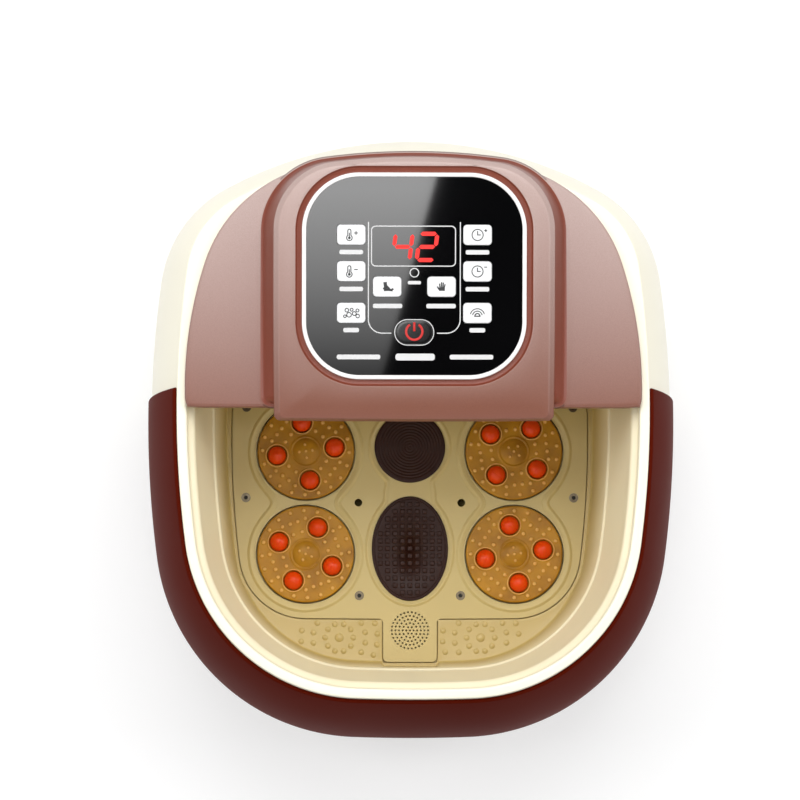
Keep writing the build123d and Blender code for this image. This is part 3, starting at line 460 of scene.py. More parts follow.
def hood_paint(name, front, rear, rough):
    """Metallic paint, sprayed: a fine fleck of two shades and a soft shine; paler towards the rear as painted
    sheen.
    """
    made, tree, shader, place = new_material(name)
    flakes = node(tree, "TexNoise", {"Vector": place, "Scale": cells(FLAKE), "Detail": 1.0})
    fleck = node(tree, "MapRange", {
        "Value": flakes.outputs["Fac"], "From Min": 0.35, "From Max": 0.65, "To Min": 0.0, "To Max": 1.0,
    })
    near, painted_sheen_tone = (node(tree, "Mix", {
        "Factor": fleck.outputs["Result"], MIX_A: linear(light), MIX_B: linear(dark),
    }, data_type="RGBA") for light, dark in (front, rear))
    # Painted sheen: the colour blends from the front tones into the paler rear tones along the hood's depth.
    depth = node(tree, "SeparateXYZ", {"Vector": place})
    fade = node(tree, "MapRange", {
        "Value": depth.outputs["Y"], "From Min": 0.01, "From Max": 0.19, "To Min": 0.0, "To Max": 1.0,
    })
    tone = node(tree, "Mix", {
        "Factor": fade.outputs["Result"], MIX_A: near.outputs[MIX_RESULT], MIX_B: painted_sheen_tone.outputs[MIX_RESULT],
    }, data_type="RGBA")
    clouds = node(tree, "TexNoise", {"Vector": place, "Scale": cells(PAINT_CLOUD), "Detail": 3.0})
    gloss = node(tree, "MapRange", {
        "Value": clouds.outputs["Fac"], "From Min": 0.3, "From Max": 0.7,
        "To Min": rough * 0.92, "To Max": rough * 1.1,
    })
    grains = node(tree, "TexNoise", {"Vector": place, "Scale": cells(PAINT_GRAIN), "Detail": 1.0})
    bump = node(tree, "Bump", {"Height": grains.outputs["Fac"], "Strength": 0.03, "Distance": FINE})
    node(tree, shader, {
        "Base Color": tone.outputs[MIX_RESULT], "Roughness": gloss.outputs["Result"],
        "Normal": bump.outputs["Normal"], "Specular IOR Level": 0.45,
    })
    return made


def amber_plastic():
    """Frosted amber PC, moulded: cloudy streaks, a little light inside it, and paler nub tips and cup lips,
    a painted highlight marked in the mesh.
    """
    made, tree, shader, place = new_material("frosted amber PC of the massage discs")
    streaks = node(tree, "TexNoise", {"Vector": place, "Scale": cells(STREAK), "Detail": 4.0})
    streak = node(tree, "MapRange", {
        "Value": streaks.outputs["Fac"], "From Min": 0.35, "From Max": 0.68, "To Min": 0.0, "To Max": 1.0,
    })
    body = node(tree, "Mix", {
        "Factor": streak.outputs["Result"], MIX_A: linear("#BC8618"), MIX_B: linear("#9C6A10"),
    }, data_type="RGBA")
    highlight_tip = node(tree, "Attribute", attribute_name="highlight_tip")
    # Painted highlight: paler amber on the nub tips and cup lips that the mesh marks.
    painted_highlight = node(tree, "MapRange", {
        "Value": highlight_tip.outputs["Fac"], "From Min": 0.1, "From Max": 0.9, "To Min": 0.0, "To Max": 0.8,
    })
    tone = node(tree, "Mix", {
        "Factor": painted_highlight.outputs["Result"], MIX_A: body.outputs[MIX_RESULT], MIX_B: linear("#EDBE74"),
    }, data_type="RGBA")
    frost = node(tree, "TexNoise", {"Vector": place, "Scale": cells(FROST), "Detail": 3.0})
    bump = node(tree, "Bump", {"Height": frost.outputs["Fac"], "Strength": 0.06, "Distance": 2 * FINE})
    node(tree, shader, {
        "Base Color": tone.outputs[MIX_RESULT], "Normal": bump.outputs["Normal"],
        "Roughness": 0.4, "Specular IOR Level": 0.3,
        "Subsurface Weight": 0.15, "Subsurface Radius": (0.004, 0.002, 0.001), "Subsurface Scale": 1.0,
    })
    return made


def orange_plastic():
    """Orange-red PC, moulded and lightly clouded: deeper in patches, with light scattered inside."""
    made, tree, shader, place = new_material("orange translucent PC of the massage rollers")
    patches = node(tree, "TexNoise", {"Vector": place, "Scale": cells(PATCH), "Detail": 3.0})
    tone = node(tree, "Mix", {
        "Factor": patches.outputs["Fac"], MIX_A: linear("#EC4C00"), MIX_B: linear("#E44000"),
    }, data_type="RGBA")
    grains = node(tree, "TexNoise", {"Vector": place, "Scale": cells(ROLLER_GRAIN), "Detail": 3.0})
    bump = node(tree, "Bump", {"Height": grains.outputs["Fac"], "Strength": 0.03, "Distance": FINE})
    node(tree, shader, {
        "Base Color": tone.outputs[MIX_RESULT], "Normal": bump.outputs["Normal"],
        "Roughness": 0.33, "Specular IOR Level": 0.3,
        "Subsurface Weight": 0.35, "Subsurface Radius": (0.004, 0.0012, 0.0005), "Subsurface Scale": 1.0,
    })
    return made


def panel_glass():
    """Clear acrylic, printed black behind: near-mirror gloss, barely wavy, with a few dull dust specks."""
    made, tree, shader, place = new_material("black-backed acrylic of the control panel")
    tints = node(tree, "TexNoise", {"Vector": place, "Scale": cells(TINT), "Detail": 3.0})
    tone = node(tree, "Mix", {
        "Factor": tints.outputs["Fac"], MIX_A: linear("#060607"), MIX_B: linear("#09090A"),
    }, data_type="RGBA")
    dust = node(tree, "TexNoise", {"Vector": place, "Scale": cells(DUST), "Detail": 3.0})
    gloss = node(tree, "MapRange", {
        "Value": dust.outputs["Fac"], "From Min": 0.66, "From Max": 0.78, "To Min": 0.035, "To Max": 0.09,
    })
    waves = node(tree, "TexNoise", {"Vector": place, "Scale": cells(WAVE), "Detail": 1.0})
    bump = node(tree, "Bump", {"Height": waves.outputs["Fac"], "Strength": 0.02, "Distance": 10 * FINE})
    node(tree, shader, {
        "Base Color": tone.outputs[MIX_RESULT], "Roughness": gloss.outputs["Result"],
        "Normal": bump.outputs["Normal"], "Specular IOR Level": 0.5, "IOR": 1.49,
    })
    return made


def glowing(name, colour, strength):
    """Lit segment behind tinted acrylic: an even light with soft brighter spots."""
    made, tree, shader, place = new_material(name)
    spots = node(tree, "TexNoise", {"Vector": place, "Scale": cells(LIT_SPOT), "Detail": 3.0})
    light = node(tree, "MapRange", {
        "Value": spots.outputs["Fac"], "From Min": 0.3, "From Max": 0.7,
        "To Min": strength * 0.85, "To Max": strength * 1.1,
    })
    node(tree, shader, {
        "Base Color": linear("#200200"), "Roughness": 0.4,
        "Emission Color": linear(colour), "Emission Strength": light.outputs["Result"],
    })
    return made


# Moulded ABS has a soft shine, PP a waxy one, and rubber almost none.
CREAM = moulded("cream gloss ABS of the casing", "#FBF6E2", "#F8F2DA", 0.30)
TUB_SHADED_CREAM = tub_plastic_with_painted_shade()
FLOOR_BEIGE = moulded("beige ABS of the floor panel", "#CDB97E", "#C7B376", 0.42, grain=0.05)
BAND_BROWN = moulded(
    "red-brown gloss ABS of the front band", "#581405", "#4E1104", 0.5, **{"Specular IOR Level": 0.015},
)
INSERT_BROWN = moulded(
    "dark brown PC of the lens and the herb lid", "#30160D", "#2A130B", 0.42, **{"Specular IOR Level": 0.2},
)
WHITE = moulded("white gloss ABS of the bezel", "#F4F2F0", "#EFEDEB", 0.2)
KEY_WHITE = moulded("satin white ABS of the keys", "#ECECEC", "#E2E3E4", 0.35)
GREY = moulded("grey PP of the base plate", "#8C877E", "#837E76", 0.55, grain=0.1)
RUBBER = moulded("black rubber of the feet", "#242322", "#1D1C1B", 0.8, grain=0.2)
ACETAL = moulded("natural acetal of the gears", "#E6E2D4", "#DEDACB", 0.4)
TRAY = moulded("dark brown PP of the tray under the hood", "#6A4438", "#623E33", 0.5, grain=0.1)
BLACK_PLASTIC = moulded("black nylon of the pumps and lamp cup", "#1E1E20", "#18181A", 0.5, grain=0.1)
BOARD = moulded("green lacquer of the circuit boards", "#1F5A3A", "#1A5034", 0.35)
SILICONE = moulded("clear silicone of the hoses", "#D9D6CC", "#CFCCC1", 0.4, **{"Transmission Weight": 0.4})
STEEL = metal("bronzed steel of the screws", "#7A6F5C", "#685E4D", 0.42)
MOTOR_STEEL = metal("galvanised steel of the motors and heater", "#A9ABAD", "#989A9C", 0.38)
MARK_WHITE = moulded("white print on the glass", "#DADADA", "#D2D2D2", 0.5)
ICON_GREY = moulded("dark grey print on the keys", "#2C2C2E", "#262628", 0.5)
BUTTON_BLACK = moulded("black gloss ABS of the power key", "#0B0B0C", "#080809", 0.15)
# The hood paint's paler rear colours are painted sheen of the overhead light.
HOOD_PAINT_WITH_SHEEN = hood_paint(
    "rose-brown metallic paint of the hood", ("#80503F", "#774839"), ("#BBA49E", "#B29A93"), 0.33,
)
# Painted shade: a darker copy of the hood paint for the head's corners and side walls and the lip into the
# panel recess.
HOOD_PAINTED_SHADE = hood_paint(
    "deep red-brown paint of the hood's side walls", ("#7E3A26", "#743320"), ("#7E3A26", "#743320"), 0.36,
)
AMBER = amber_plastic()
ORANGE = orange_plastic()
GLASS = panel_glass()
DIGIT_RED = glowing("red light of the display segments", "#FF1408", 1.25)
POWER_RED = glowing("red light of the power symbol", "#E01008", 0.95)

# ================================================================ CAD pieces shown as they are
CAD_LOOKS = {
    "floor_panel": FLOOR_BEIGE, "base_plate": GREY, "base_screws": STEEL, "floor_screws": STEEL,
    "rubber_feet": RUBBER, "hood_tray": TRAY, "infrared_lamp": BLACK_PLASTIC, "herb_box": INSERT_BROWN,
    "control_glass": GLASS, "control_board": BOARD, "power_board": BOARD, "heater": MOTOR_STEEL,
    "massage_motors": MOTOR_STEEL, "shaft_seals": RUBBER, "water_pump": BLACK_PLASTIC,
    "air_pump": BLACK_PLASTIC, "hoses": SILICONE, "mains_inlet": BLACK_PLASTIC,
}
for cad_node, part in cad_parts.items():
    look = CAD_LOOKS.get(cad_node)
    if cad_node.startswith(("disc_gear", "drive_pinion")):
        look = ACETAL
    if look:
        part.data.materials.clear()
        part.data.materials.append(look)


# ================================================================ casing and band
def casing_section(skin, near=4.2):
    """Outside line of the casing from the foot to the top as (out, z), skin further out; near is the
    spacing at the inlet.
    """
    z = np.concatenate([
        np.linspace(CASING_BOTTOM, INLET_Z - 18, 4, endpoint=False),
        np.linspace(INLET_Z - 18, INLET_Z + 18, round(36 / near), endpoint=False),
        np.linspace(INLET_Z + 18, BULGE_Z, 11, endpoint=False),
        np.linspace(BULGE_Z, CASING_TOP, 32),
    ])
    return np.stack([casing_out(z, skin), z], 1)


def casing():
    """Skin of rays from the middle: each row is the rim's plan moved outwards by the section's width at
    that height.

    Round the mains inlet the outside is pushed in behind the inlet's seat.
    """
    angles = np.linspace(0, TAU, 840, endpoint=False)
    outer, inner = casing_section(0.0, 1.5), casing_section(-3.0, 6.0)[::-1]
    section = np.concatenate([
        [[FOOT_OUT - 2.2, CASING_BOTTOM], [FOOT_OUT - 0.6, CASING_BOTTOM + 0.4]], outer[1:-1],
        rounded(
            [[outer[-2][0], outer[-2][1]], [0.0, 229.9], [-4.7, 229.9], [-4.7, 226.9], [-3.2, 226.9]],
            [0, 1.0, 0.5, 0.5, 0]
        )[1:],
        inner[3:-1:2], [
            [FOOT_OUT - 3.2, CASING_BOTTOM + 6.0], [FOOT_OUT - 16.6, CASING_BOTTOM + 6.0],
            [FOOT_OUT - 16.8, CASING_BOTTOM]
        ],
    ])
    rows = np.stack(
        [
            np.concatenate(
                [
                    polar(plan(RIM, -out), angles, (0, 0))[:, None] * rays(angles),
                    np.full((len(angles), 1), z)
                ],
                1
            )
            for out, z in section
        ]
    )
    pushed = (np.hypot(rows[..., 0], rows[..., 2] - INLET_Z) < 14.6) & (rows[..., 1] > 0)
    rows[..., 1] = np.where(pushed, np.minimum(rows[..., 1], INLET_FACE - 1.2), rows[..., 1])
    build(
        "casing", rows.reshape(-1, 3), quads(len(rows), len(angles), wrap_rows=True), CREAM,
        replaces=["outer_casing"]
    )


def inlet_seat():
    """Round seat for the mains inlet: rings about the inlet's axis, each at its own depth, the outer
    ones on the casing's skin.
    """
    t = np.linspace(0, TAU, 96, endpoint=False)
    rings = []
    for radius, on_skin, depth in (
        (8.3, False, -2.0), (8.3, False, 0.0), (12.4, False, 0.0), (12.4, True, 0.0),
        (12.6, True, 0.35), (13.2, True, 0.5), (15.4, True, 0.5),
        (16.2, True, 0.35), (16.7, True, -0.1), (16.9, True, -0.6), (16.9, True, -2.6), (8.3, False, -2.6),
    ):
        x, z = radius * np.cos(t), INLET_Z + radius * np.sin(t)
        skin = RIM[3] - RIM[4] + np.sqrt((RIM[4] + casing_out(z)) ** 2 - x**2)
        rings.append(np.stack([x, (skin if on_skin else INLET_FACE) + depth + 0 * x, z], 1))
    build(
        "inlet_seat", np.concatenate(rings), quads(len(rings), len(t), wrap_rows=True), CREAM,
        replaces=["outer_casing"]
    )


def half_band(out, count=340):
    """Right half of a band row: the plan from the front middle to the band's end, evenly spaced and
    closer together near the end.
    """
    line = plan(RIM, -out, 6000)
    line = line[: len(line) // 2]
    line = line[line[:, 1] < BAND_END + 2]
    run = np.concatenate([[0], np.cumsum(np.hypot(*np.diff(line, axis=0).T))])
    end = np.interp(BAND_END, line[:, 1], run)
    near = 1.4 * (1 - np.sin(np.linspace(0, math.pi / 2, 7)))
    at = np.concatenate([np.linspace(0, end - 1.6, count), end - near])
    return np.stack([np.interp(at, run, line[:, 0]), np.interp(at, run, line[:, 1])], 1), near


def front_band():
    """Section of the casing's skin carried along the plan; rounded top edge, and the thickness fades
    as a quarter circle at both ends.
    """
    outer, inner = casing_section(0.2 + BAND_THICK), casing_section(0.3)[::-1]
    keep = outer[:, 1] > BAND_BOTTOM + 2
    outer = outer[keep & (outer[:, 1] < CASING_TOP - 3)]
    inner = inner[(inner[:, 1] > BAND_BOTTOM + 2) & (inner[:, 1] < CASING_TOP - 3)]
    z = CASING_TOP
    top = rounded(
        [outer[-1], [casing_out(z, 0.2 + BAND_THICK), z], [casing_out(z, 0.3), z], inner[0]],
        [0, 1.6, 0.3, 0], 7
    )[1:-1]
    z = BAND_BOTTOM
    low = rounded(
        [inner[-1], [casing_out(z, 0.3), z], [casing_out(z, 0.2 + BAND_THICK), z], outer[0]],
        [0, 0.3, 1.2, 0]
    )[1:-1]
    section = np.concatenate([outer, top, inner, low])
    middle = np.stack([casing_out(section[:, 1], 0.2 + BAND_THICK / 2), section[:, 1]], 1)
    rows = []
    for (out, height), (mid, _) in zip(section, middle):
        line, near = half_band(float(out))
        core, _ = half_band(float(mid))
        fade = np.ones(len(line))
        fade[-len(near):] = 0.15 + 0.85 * np.sqrt(np.clip(1 - (1 - near / 1.4) ** 2, 0, 1))
        line = core + (line - core) * fade[:, None]
        both = np.concatenate([line[::-1], line[1:] * [-1, 1]])
        rows.append(np.concatenate([both, np.full((len(both), 1), height)], 1))
    count, cols = len(rows), len(rows[0])
    faces = quads(count, cols, wrap_rows=True, wrap_cols=False).tolist()
    faces += [[i * cols for i in range(count)], [i * cols + cols - 1 for i in range(count)][::-1]]
    build("front_band", np.concatenate(rows), faces, BAND_BROWN, replaces=["front_band"])


# ================================================================ basin
TUB_MIDDLE = (0.0, -60.0)


def floor_radius(angles, inset):
    """Distance from the tub's middle to the floor panel's outline, tab included, moved inwards by inset."""
    body = polar(plan(PANEL, inset), angles, TUB_MIDDLE)
    d = rays(angles)
    half, front = TAB_HALF - inset, TAB_FRONT + inset
    with np.errstate(divide="ignore", invalid="ignore"):
        side = np.where(np.abs(d[:, 0]) > 1e-9, half / np.abs(d[:, 0]), 1e9)
        nose = np.where(d[:, 1] < -1e-9, (front - TUB_MIDDLE[1]) / d[:, 1], 0.0)
    gap = side - nose
    corner = np.minimum(side, nose) - np.where(nose > 0, 1.6 * np.exp(-((gap / 6.0) ** 2)), 0)
    return np.maximum(body, np.where(nose > 0, corner, 0))


def basin():
    """Rays from the tub's middle: each row takes either the tub's plan or the floor panel's, moved
    inwards, at its height.

    The wall's profile goes down from under the rim bead to the ledge, into
    the well under the floor panel, and back up outside at wall thickness.
    """
    angles = np.linspace(0, TAU, 1020, endpoint=False)
    wall = rounded(
        [
            [7.0, 235.4], [7.5, 229.5], [8.5, 227], [13.5, 223], [14.5, 213], [24, 150], [26, 148],
            [31, 86], [32.5, 78], [36, 78]
        ],
        [0, 0.5, 1.5, 2.5, 2.0, 1.6, 1.6, 3.0, 4.0, 0], 6,
    )[:-1]
    back = rounded(
        [
            [29.5, 71], [28.9, 74], [28, 86], [23, 148], [21, 150], [11.5, 213], [10.5, 222],
            [5.6, 226.6], [4.8, 235.4]
        ],
        [0, 1, 2, 1, 1, 2, 2, 1, 0.5], 4,
    )
    floor = rounded(
        [[-4, 78], [-0.9, 78], [-0.9, 73.9], [5, 73.9], [5, 52], [12, 52]], [0, 0.5, 0.3, 0.5, 1, 0], 4
    )
    under = [[60, 52], [60, 49], [4, 49], [2.2, 50], [2, 71]]
    groove = floor_radius(angles, -0.9)
    rows = []
    for kind, line in (("tub", wall), ("floor", floor), ("floor", under), ("tub", back)):
        for inset, z in line:
            r = polar(plan(TUB, inset), angles, TUB_MIDDLE) if kind == "tub" else floor_radius(angles, inset)
            if line is wall and z < 100:
                r = np.maximum(r, groove + 1.6 + (36 - inset) * 0.3)
            if line is floor and inset < -1:
                r = np.minimum(r, np.hypot(*(rows[-1][:, :2] - TUB_MIDDLE).T) - 0.3)
            if inset == 60:
                r = r * 0 + 0.01
            rows.append(
                np.concatenate(
                    [np.array(TUB_MIDDLE) + r[:, None] * rays(angles), np.full((len(angles), 1), float(z))],
                    1
                )
            )
    build(
        "tub", np.concatenate(rows), quads(len(rows), len(angles), wrap_rows=True), TUB_SHADED_CREAM,
        replaces=["basin"]
    )

    section = rounded(
        [
            [0.0, 230.1], [0.0, 236], [8.0, 236], [8.0, 228.6], [4.9, 228.6], [4.9, 230.1]
        ], [0.4, 2.2, 2.6, 0.8, 0.3, 0.3], 7,
    )
    angles = np.linspace(0, TAU, 900, endpoint=False)
    shelf = 10.0 / (1 + np.exp(-(polar(plan(RIM), angles, (0, 0)) * np.sin(angles) - 70.0) / 12.0))
    rows = []
    for inset, z in section:
        r = polar(plan(RIM, inset), angles, (0, 0)) - shelf * (inset > 3.5)
        rows.append(np.concatenate([r[:, None] * rays(angles), np.full((len(angles), 1), z)], 1))
    build(
        "rim_bead", np.concatenate(rows), quads(len(rows), len(angles), wrap_rows=True), CREAM,
        replaces=["basin"]
    )


def ledge_bumps():
    """Massage bumps on the front ledge: a big dome in two rings of small ones per side, only those
    that fit on the ledge.
    """
    found = []
    for side in (-1, 1):
        centre = np.array([57.3 * side, -159.7])
        found.append([*centre, 3.6])
        for count, reach, phase in ((10, 11.4, 0.0), (16, 21.4, 0.2), (22, 31.0, 0.1)):
            t = phase + np.linspace(0, TAU, count, endpoint=False)
            found += [[*p, 2.4] for p in centre + reach * rays(t)]
    bumps = np.array(found)
    d = bumps[:, :2] - np.array(TUB_MIDDLE)
    angle, reach = np.arctan2(d[:, 1], d[:, 0]), np.hypot(d[:, 0], d[:, 1])
    outer = polar(plan(TUB, 32.5), angle % TAU, TUB_MIDDLE)
    fits = (reach + 3.4 < outer) & (
        reach - 2.9 > floor_radius(angle, -0.4)
    ) & (np.abs(bumps[:, 0]) > TAB_HALF + 3.6) & (bumps[:, 1] < -147.4)
    bumps = bumps[fits]
    points, faces = domes(bumps[:, :2], bumps[:, 2], bumps[:, 2] * 0.42, FLOOR_Z, 0.5)
    build("ledge_bumps", points, faces, TUB_SHADED_CREAM, replaces=["basin"])


# ================================================================ floor contours
def ridge(outline, outer, inner, height, base, sink=0.3):
    """Soft step along a closed outline: height * cos^2 falling over outer mm outside and inner mm
    inside, sunk at both feet.
    """
    p = np.asarray(outline, float)
    ahead = np.roll(p, -1, 0) - np.roll(p, 1, 0)
    ahead /= np.linalg.norm(ahead, axis=1, keepdims=True)
    side = np.stack([-ahead[:, 1], ahead[:, 0]], 1)
    u = np.linspace(-1, 1, 13)
    span = lambda v: v * (inner if v > 0 else outer)
    rows = [
        np.concatenate(
            [p + side * span(v), np.full((len(p), 1), base + height * math.cos(v * math.pi / 2) ** 2)],
            1
        )
        for v in u
    ]
    rows += [np.concatenate([p + side * span(v), np.full((len(p), 1), base - sink)], 1) for v in (1, -1)]
    return np.concatenate(rows), quads(len(rows), len(p), wrap_rows=True).tolist()


def merged(circles, neck, angles_about, steps=500):
    """Outline round overlapping ellipses (x, y, a, b): the zero line of a soft union, found along rays.

    Each ellipse gives f = 1 - |((p - c) / (a, b))|; the union is
    log(sum(exp(neck * f))) / neck, and the outline is its outermost zero.
    """
    t = np.linspace(0, TAU, steps, endpoint=False)
    reach = np.linspace(5, 110, 1400)
    p = np.array(angles_about)[None, None] + reach[None, :, None] * rays(t)[:, None]
    total = sum(
        np.exp(neck * (1 - np.hypot((p[..., 0] - x) / a, (p[..., 1] - y) / b))) for x, y, a,
        b in circles
    )
    inside = np.log(total) / neck > 0
    last = reach[len(reach) - 1 - np.argmax(inside[:, ::-1], axis=1)]
    smooth = np.fft.irfft(np.fft.rfft(last) * (np.arange(steps // 2 + 1) < 60), steps)
    return np.array(angles_about) + smooth[:, None] * rays(t)


def floor_contours():
    """Raised lines round each pair of discs and round the lens and the herb lid."""
    shapes = []
    for side in (-1, 1):
        x = 84.8 * side
        shapes.append(
            ridge(
                merged([(x, -8.3, 45.2, 45.2), (x, -92.0, 45.2, 45.2)], 7.0, (x, -50.15)), 2.2, 3.6,
                1.0, FLOOR_Z
            )
        )
    shapes.append(
        ridge(
            merged([(0, -4.8, 32.2, 32.2), (0, -87.4, 34.6, 45.4), (0, -42.0, 19.0, 16.0)], 9.0, (0, -42.0)),
            2.0, 2.4, 0.9, FLOOR_Z
        )
    )
    points, faces = joined(shapes)
    build("floor_contours", points, faces, FLOOR_BEIGE)


casing()
inlet_seat()
front_band()
basin()
ledge_bumps()
floor_contours()


# ================================================================ hood
HOOD_MIDDLE = (0.0, 100.0)
WING = 236.0


def head_ray(angles, half, front, back, corner, n):
    """Points where rays in plan meet an outline drawn on the head's sloping plane, n above it."""
    outline = plan((half, (front + back) / 2, 9000.0, back, 500.0, corner, front, 9000.0, 5.0), 0.0)
    flat = on_head(outline[:, 0], outline[:, 1], np.full(len(outline), n))
    r = polar(flat[:, :2], angles, HOOD_MIDDLE)
    p = np.array(HOOD_MIDDLE) + r[:, None] * rays(angles)
    s = (p[:, 1] + n * math.sin(SLOPE)) / math.cos(SLOPE)
    return np.concatenate([p, (HEAD_ORIGIN[2] + s * math.sin(SLOPE) + n * math.cos(SLOPE))[:, None]], 1)


def base_ray(angles, grow, z):
    """Points of the head's foot line on the hood's top, moved outwards by grow."""
    outline = plan((115.5, 110.0, 9000.0, 206.5, 500.0, 55.0, 13.5, 9000.0, 6.0), -grow)
    r = polar(outline, angles, HOOD_MIDDLE)
    return np.concatenate(
        [np.array(HOOD_MIDDLE) + r[:, None] * rays(angles), np.full((len(angles), 1), float(z))], 1
    )


def hood_ray(angles, inset, z):
    """Points of the hood's own outline: its plan, cut straight across the front, moved inwards."""
    whole = polar(plan(HOOD, inset), angles, HOOD_MIDDLE)
    dy = np.sin(angles)
    with np.errstate(divide="ignore"):
        cut = np.where(dy < -1e-9, (HOOD_FRONT + inset - HOOD_MIDDLE[1]) / dy, 1e9)
    r = np.minimum(whole, cut) - 1.4 * np.exp(-(((whole - np.minimum(cut, 1e4)) / 9.0) ** 2))
    return np.concatenate(
        [np.array(HOOD_MIDDLE) + r[:, None] * rays(angles), np.full((len(angles), 1), float(z))], 1
    )


def box_ray(angles, grow, n):
    """Points of a rounded outline concentric with the panel on the head's plane."""
    half_x, half_y, corner = RING_HALF + grow, RING_LENGTH + grow, RING_CORNER + grow
    outline = rounded_box(half_x, half_y, corner, 40) + [0, PANEL_S]
    flat = on_head(outline[:, 0], outline[:, 1], np.full(len(outline), n))
    r = polar(flat[:, :2], angles, HOOD_MIDDLE)
    p = np.array(HOOD_MIDDLE) + r[:, None] * rays(angles)
    s = (p[:, 1] + n * math.sin(SLOPE)) / math.cos(SLOPE)
    return np.concatenate([p, (HEAD_ORIGIN[2] + s * math.sin(SLOPE) + n * math.cos(SLOPE))[:, None]], 1)


def hood():
    """Rays from the middle of the hood, in rows that close on themselves.

    They run over the rim of the wings, up the head, over its crown, down into the
    panel recess and back underneath. Wing rows blend the hood's outline with the
    head's foot line and lie flat; every corner is a short run of rows along a
    quarter turn.
    """
    angles = np.linspace(0, TAU, 1400, endpoint=False)
    rows, dark = [], []

    # Rows marked here take the darker paint: painted shade on the head's corners and side walls and in the
    # lip of the panel recess.
    def add(row, painted_shade_row=False):
        rows.append(row)
        dark.append(painted_shade_row)

    turn = np.linspace(0, math.pi / 2, 6)
    for a in turn:
        add(hood_ray(angles, 2.4 * (1 - math.cos(a)), WING + 5.2 + 2.4 * math.sin(a)))
    start, end = hood_ray(angles, 2.4, WING + 7.6), base_ray(angles, 4.0, WING + 7.6)
    for u in np.linspace(0, 1, 14)[1:]:
        add(start + (end - start) * u)
    foot = base_ray(angles, 0.0, WING + 9.0)
    brow = head_ray(angles, 107.5, -1.5, 200.2, 52.0, -5.0)
    first = rows[-1]
    for u in (0.25, 0.5, 0.75):
        corner = base_ray(angles, 0.6, WING + 7.6)
        add((1 - u) ** 2 * first + 2 * u * (1 - u) * corner + u * u * (foot + 0.12 * (brow - foot)), True)
    for u in (0.12, 0.35, 0.6, 0.85, 0.97):
        add(foot + u * (brow - foot), True)
    for half, front, back, corner, n in (
        (107.5, -1.5, 200.2, 52.0, -4.2), (107.0, -1.2, 199.8, 51.6, -3.5), (106.2, -0.8, 199.2, 51.0, -2.9),
        (104.6, 0.1, 197.9, 49.5, -1.4), (103.8, 0.5, 197.2, 48.6, -0.6), (103.2, 0.8, 196.7, 48.0, -0.2),
        (102.4, 1.4, 196.2, 47.2, 0.0),
    ):
        add(head_ray(angles, half, front, back, corner, n))
    for grow, n, painted_shade_row in (
        (LIP + 1.3, 0.0, False), (LIP + 0.9, -0.05, False), (LIP + 0.4, -0.25, True),
        (LIP + 0.1, -0.7, True), (LIP - 0.6, -2.2, True),
        (LIP - 1.4, -2.6, True), (0.5, -RECESS, True), (-8.5, -RECESS, False), (-9.0, -3.0, False),
        (-9.0, -5.0, False), (-8.5, -5.2, False),
        (LIP + 2.0, -5.2, False),
    ):
        add(box_ray(angles, grow, n), painted_shade_row)
    add(head_ray(angles, 103.6, 2.6, 196.4, 48.4, -7.0))
    add(base_ray(angles, -3.2, WING + 6.8))
    add(base_ray(angles, -3.0, WING + 5.0))
    add(hood_ray(angles, 3.2, WING + 5.0))
    add(hood_ray(angles, 3.0, WING + 4.6))
    add(hood_ray(angles, 3.0, WING + 0.3))
    add(hood_ray(angles, 2.6, WING + 0.05))
    add(hood_ray(angles, 0.4, WING + 0.05))
    add(hood_ray(angles, 0.0, WING + 0.5))
    piece = build(
        "hood", np.concatenate(rows), quads(len(rows), len(angles), wrap_rows=True), HOOD_PAINT_WITH_SHEEN,
        replaces=["hood"]
    )
    # The darker second paint on the marked rows is painted shade.
    piece.data.materials.append(HOOD_PAINTED_SHADE)
    shade_slots = np.repeat(np.array(dark, np.int32), len(angles))
    piece.data.polygons.foreach_set("material_index", shade_slots)


hood()


# ================================================================ bezel, keys and prints
def panel(x, y, h):
    """Point on the panel's plane."""
    return on_head(x, y, h)


def bezel():
    """Rounded-rectangle ring: a half-round section swept round the panel."""
    section = rounded(
        [[0.0, -RECESS], [0.0, 0.75], [-RING_WIDTH, 0.75], [-RING_WIDTH, -RECESS]],
        [0.2, 1.3, 1.3, 0.2], 7
    )
    rows = []
    for grow, n in section:
        o = rounded_box(RING_HALF + grow, RING_LENGTH + grow, RING_CORNER + grow, 60) + [0, PANEL_S]
        rows.append(on_head(o[:, 0], o[:, 1], np.full(len(o), n)))
    build(
        "bezel", np.concatenate(rows), quads(len(rows), len(rows[0]), wrap_rows=True), WHITE,
        replaces=["panel_bezel"]
    )


KEYS = {
    "key_temperature_up": (-48.1, 141.0), "key_temperature_down": (-48.1, 113.2),
    "key_bubbles": (-48.1, 81.5),
    "key_time_up": (48.1, 141.0), "key_time_down": (48.1, 113.2), "key_light": (48.1, 81.5),
    "key_massage": (-20.7, 101.5), "key_preset": (20.7, 101.5), "key_power": (0.0, 66.7),
}


def keys():
    """Each key is a stack of rounded outlines: flange under the glass, straight cap, rounded top edge,
    very slight crown.
    """
    for name, (x, s) in KEYS.items():
        power = name == "key_power"
        half_x, half_y, corner = (14.2, 9.2, 9.1) if power else (10.85, 7.7, 3.0)
        profile = [
            (1.0, -4.1), (1.2, -3.9), (1.2, -3.1), (1.0, -2.9), (0.0, -2.9), (0.0, -0.35), (-0.15, 0.0),
            (-0.45, 0.17), (-0.9, 0.22), (-2.6, 0.24)
        ]
        loops = []
        for grow, n in profile:
            o = rounded_box(half_x + grow, half_y + grow, max(corner + grow, 0.4), 12) + [x, s]
            loops.append(panel(o[:, 0], o[:, 1], np.full(len(o), n)))
        points, faces = layers(loops)
        look, slot = (BUTTON_BLACK, "panel_black") if power else (KEY_WHITE, "key_white")
        build(name + "_cap", points, faces, look, body=name, replaces=[name])


def bar(x, s, half_x, half_y):
    return patch(rounded_box(half_x, half_y, half_y * 0.7, 4) + [x, s], panel, -0.42, -0.30)


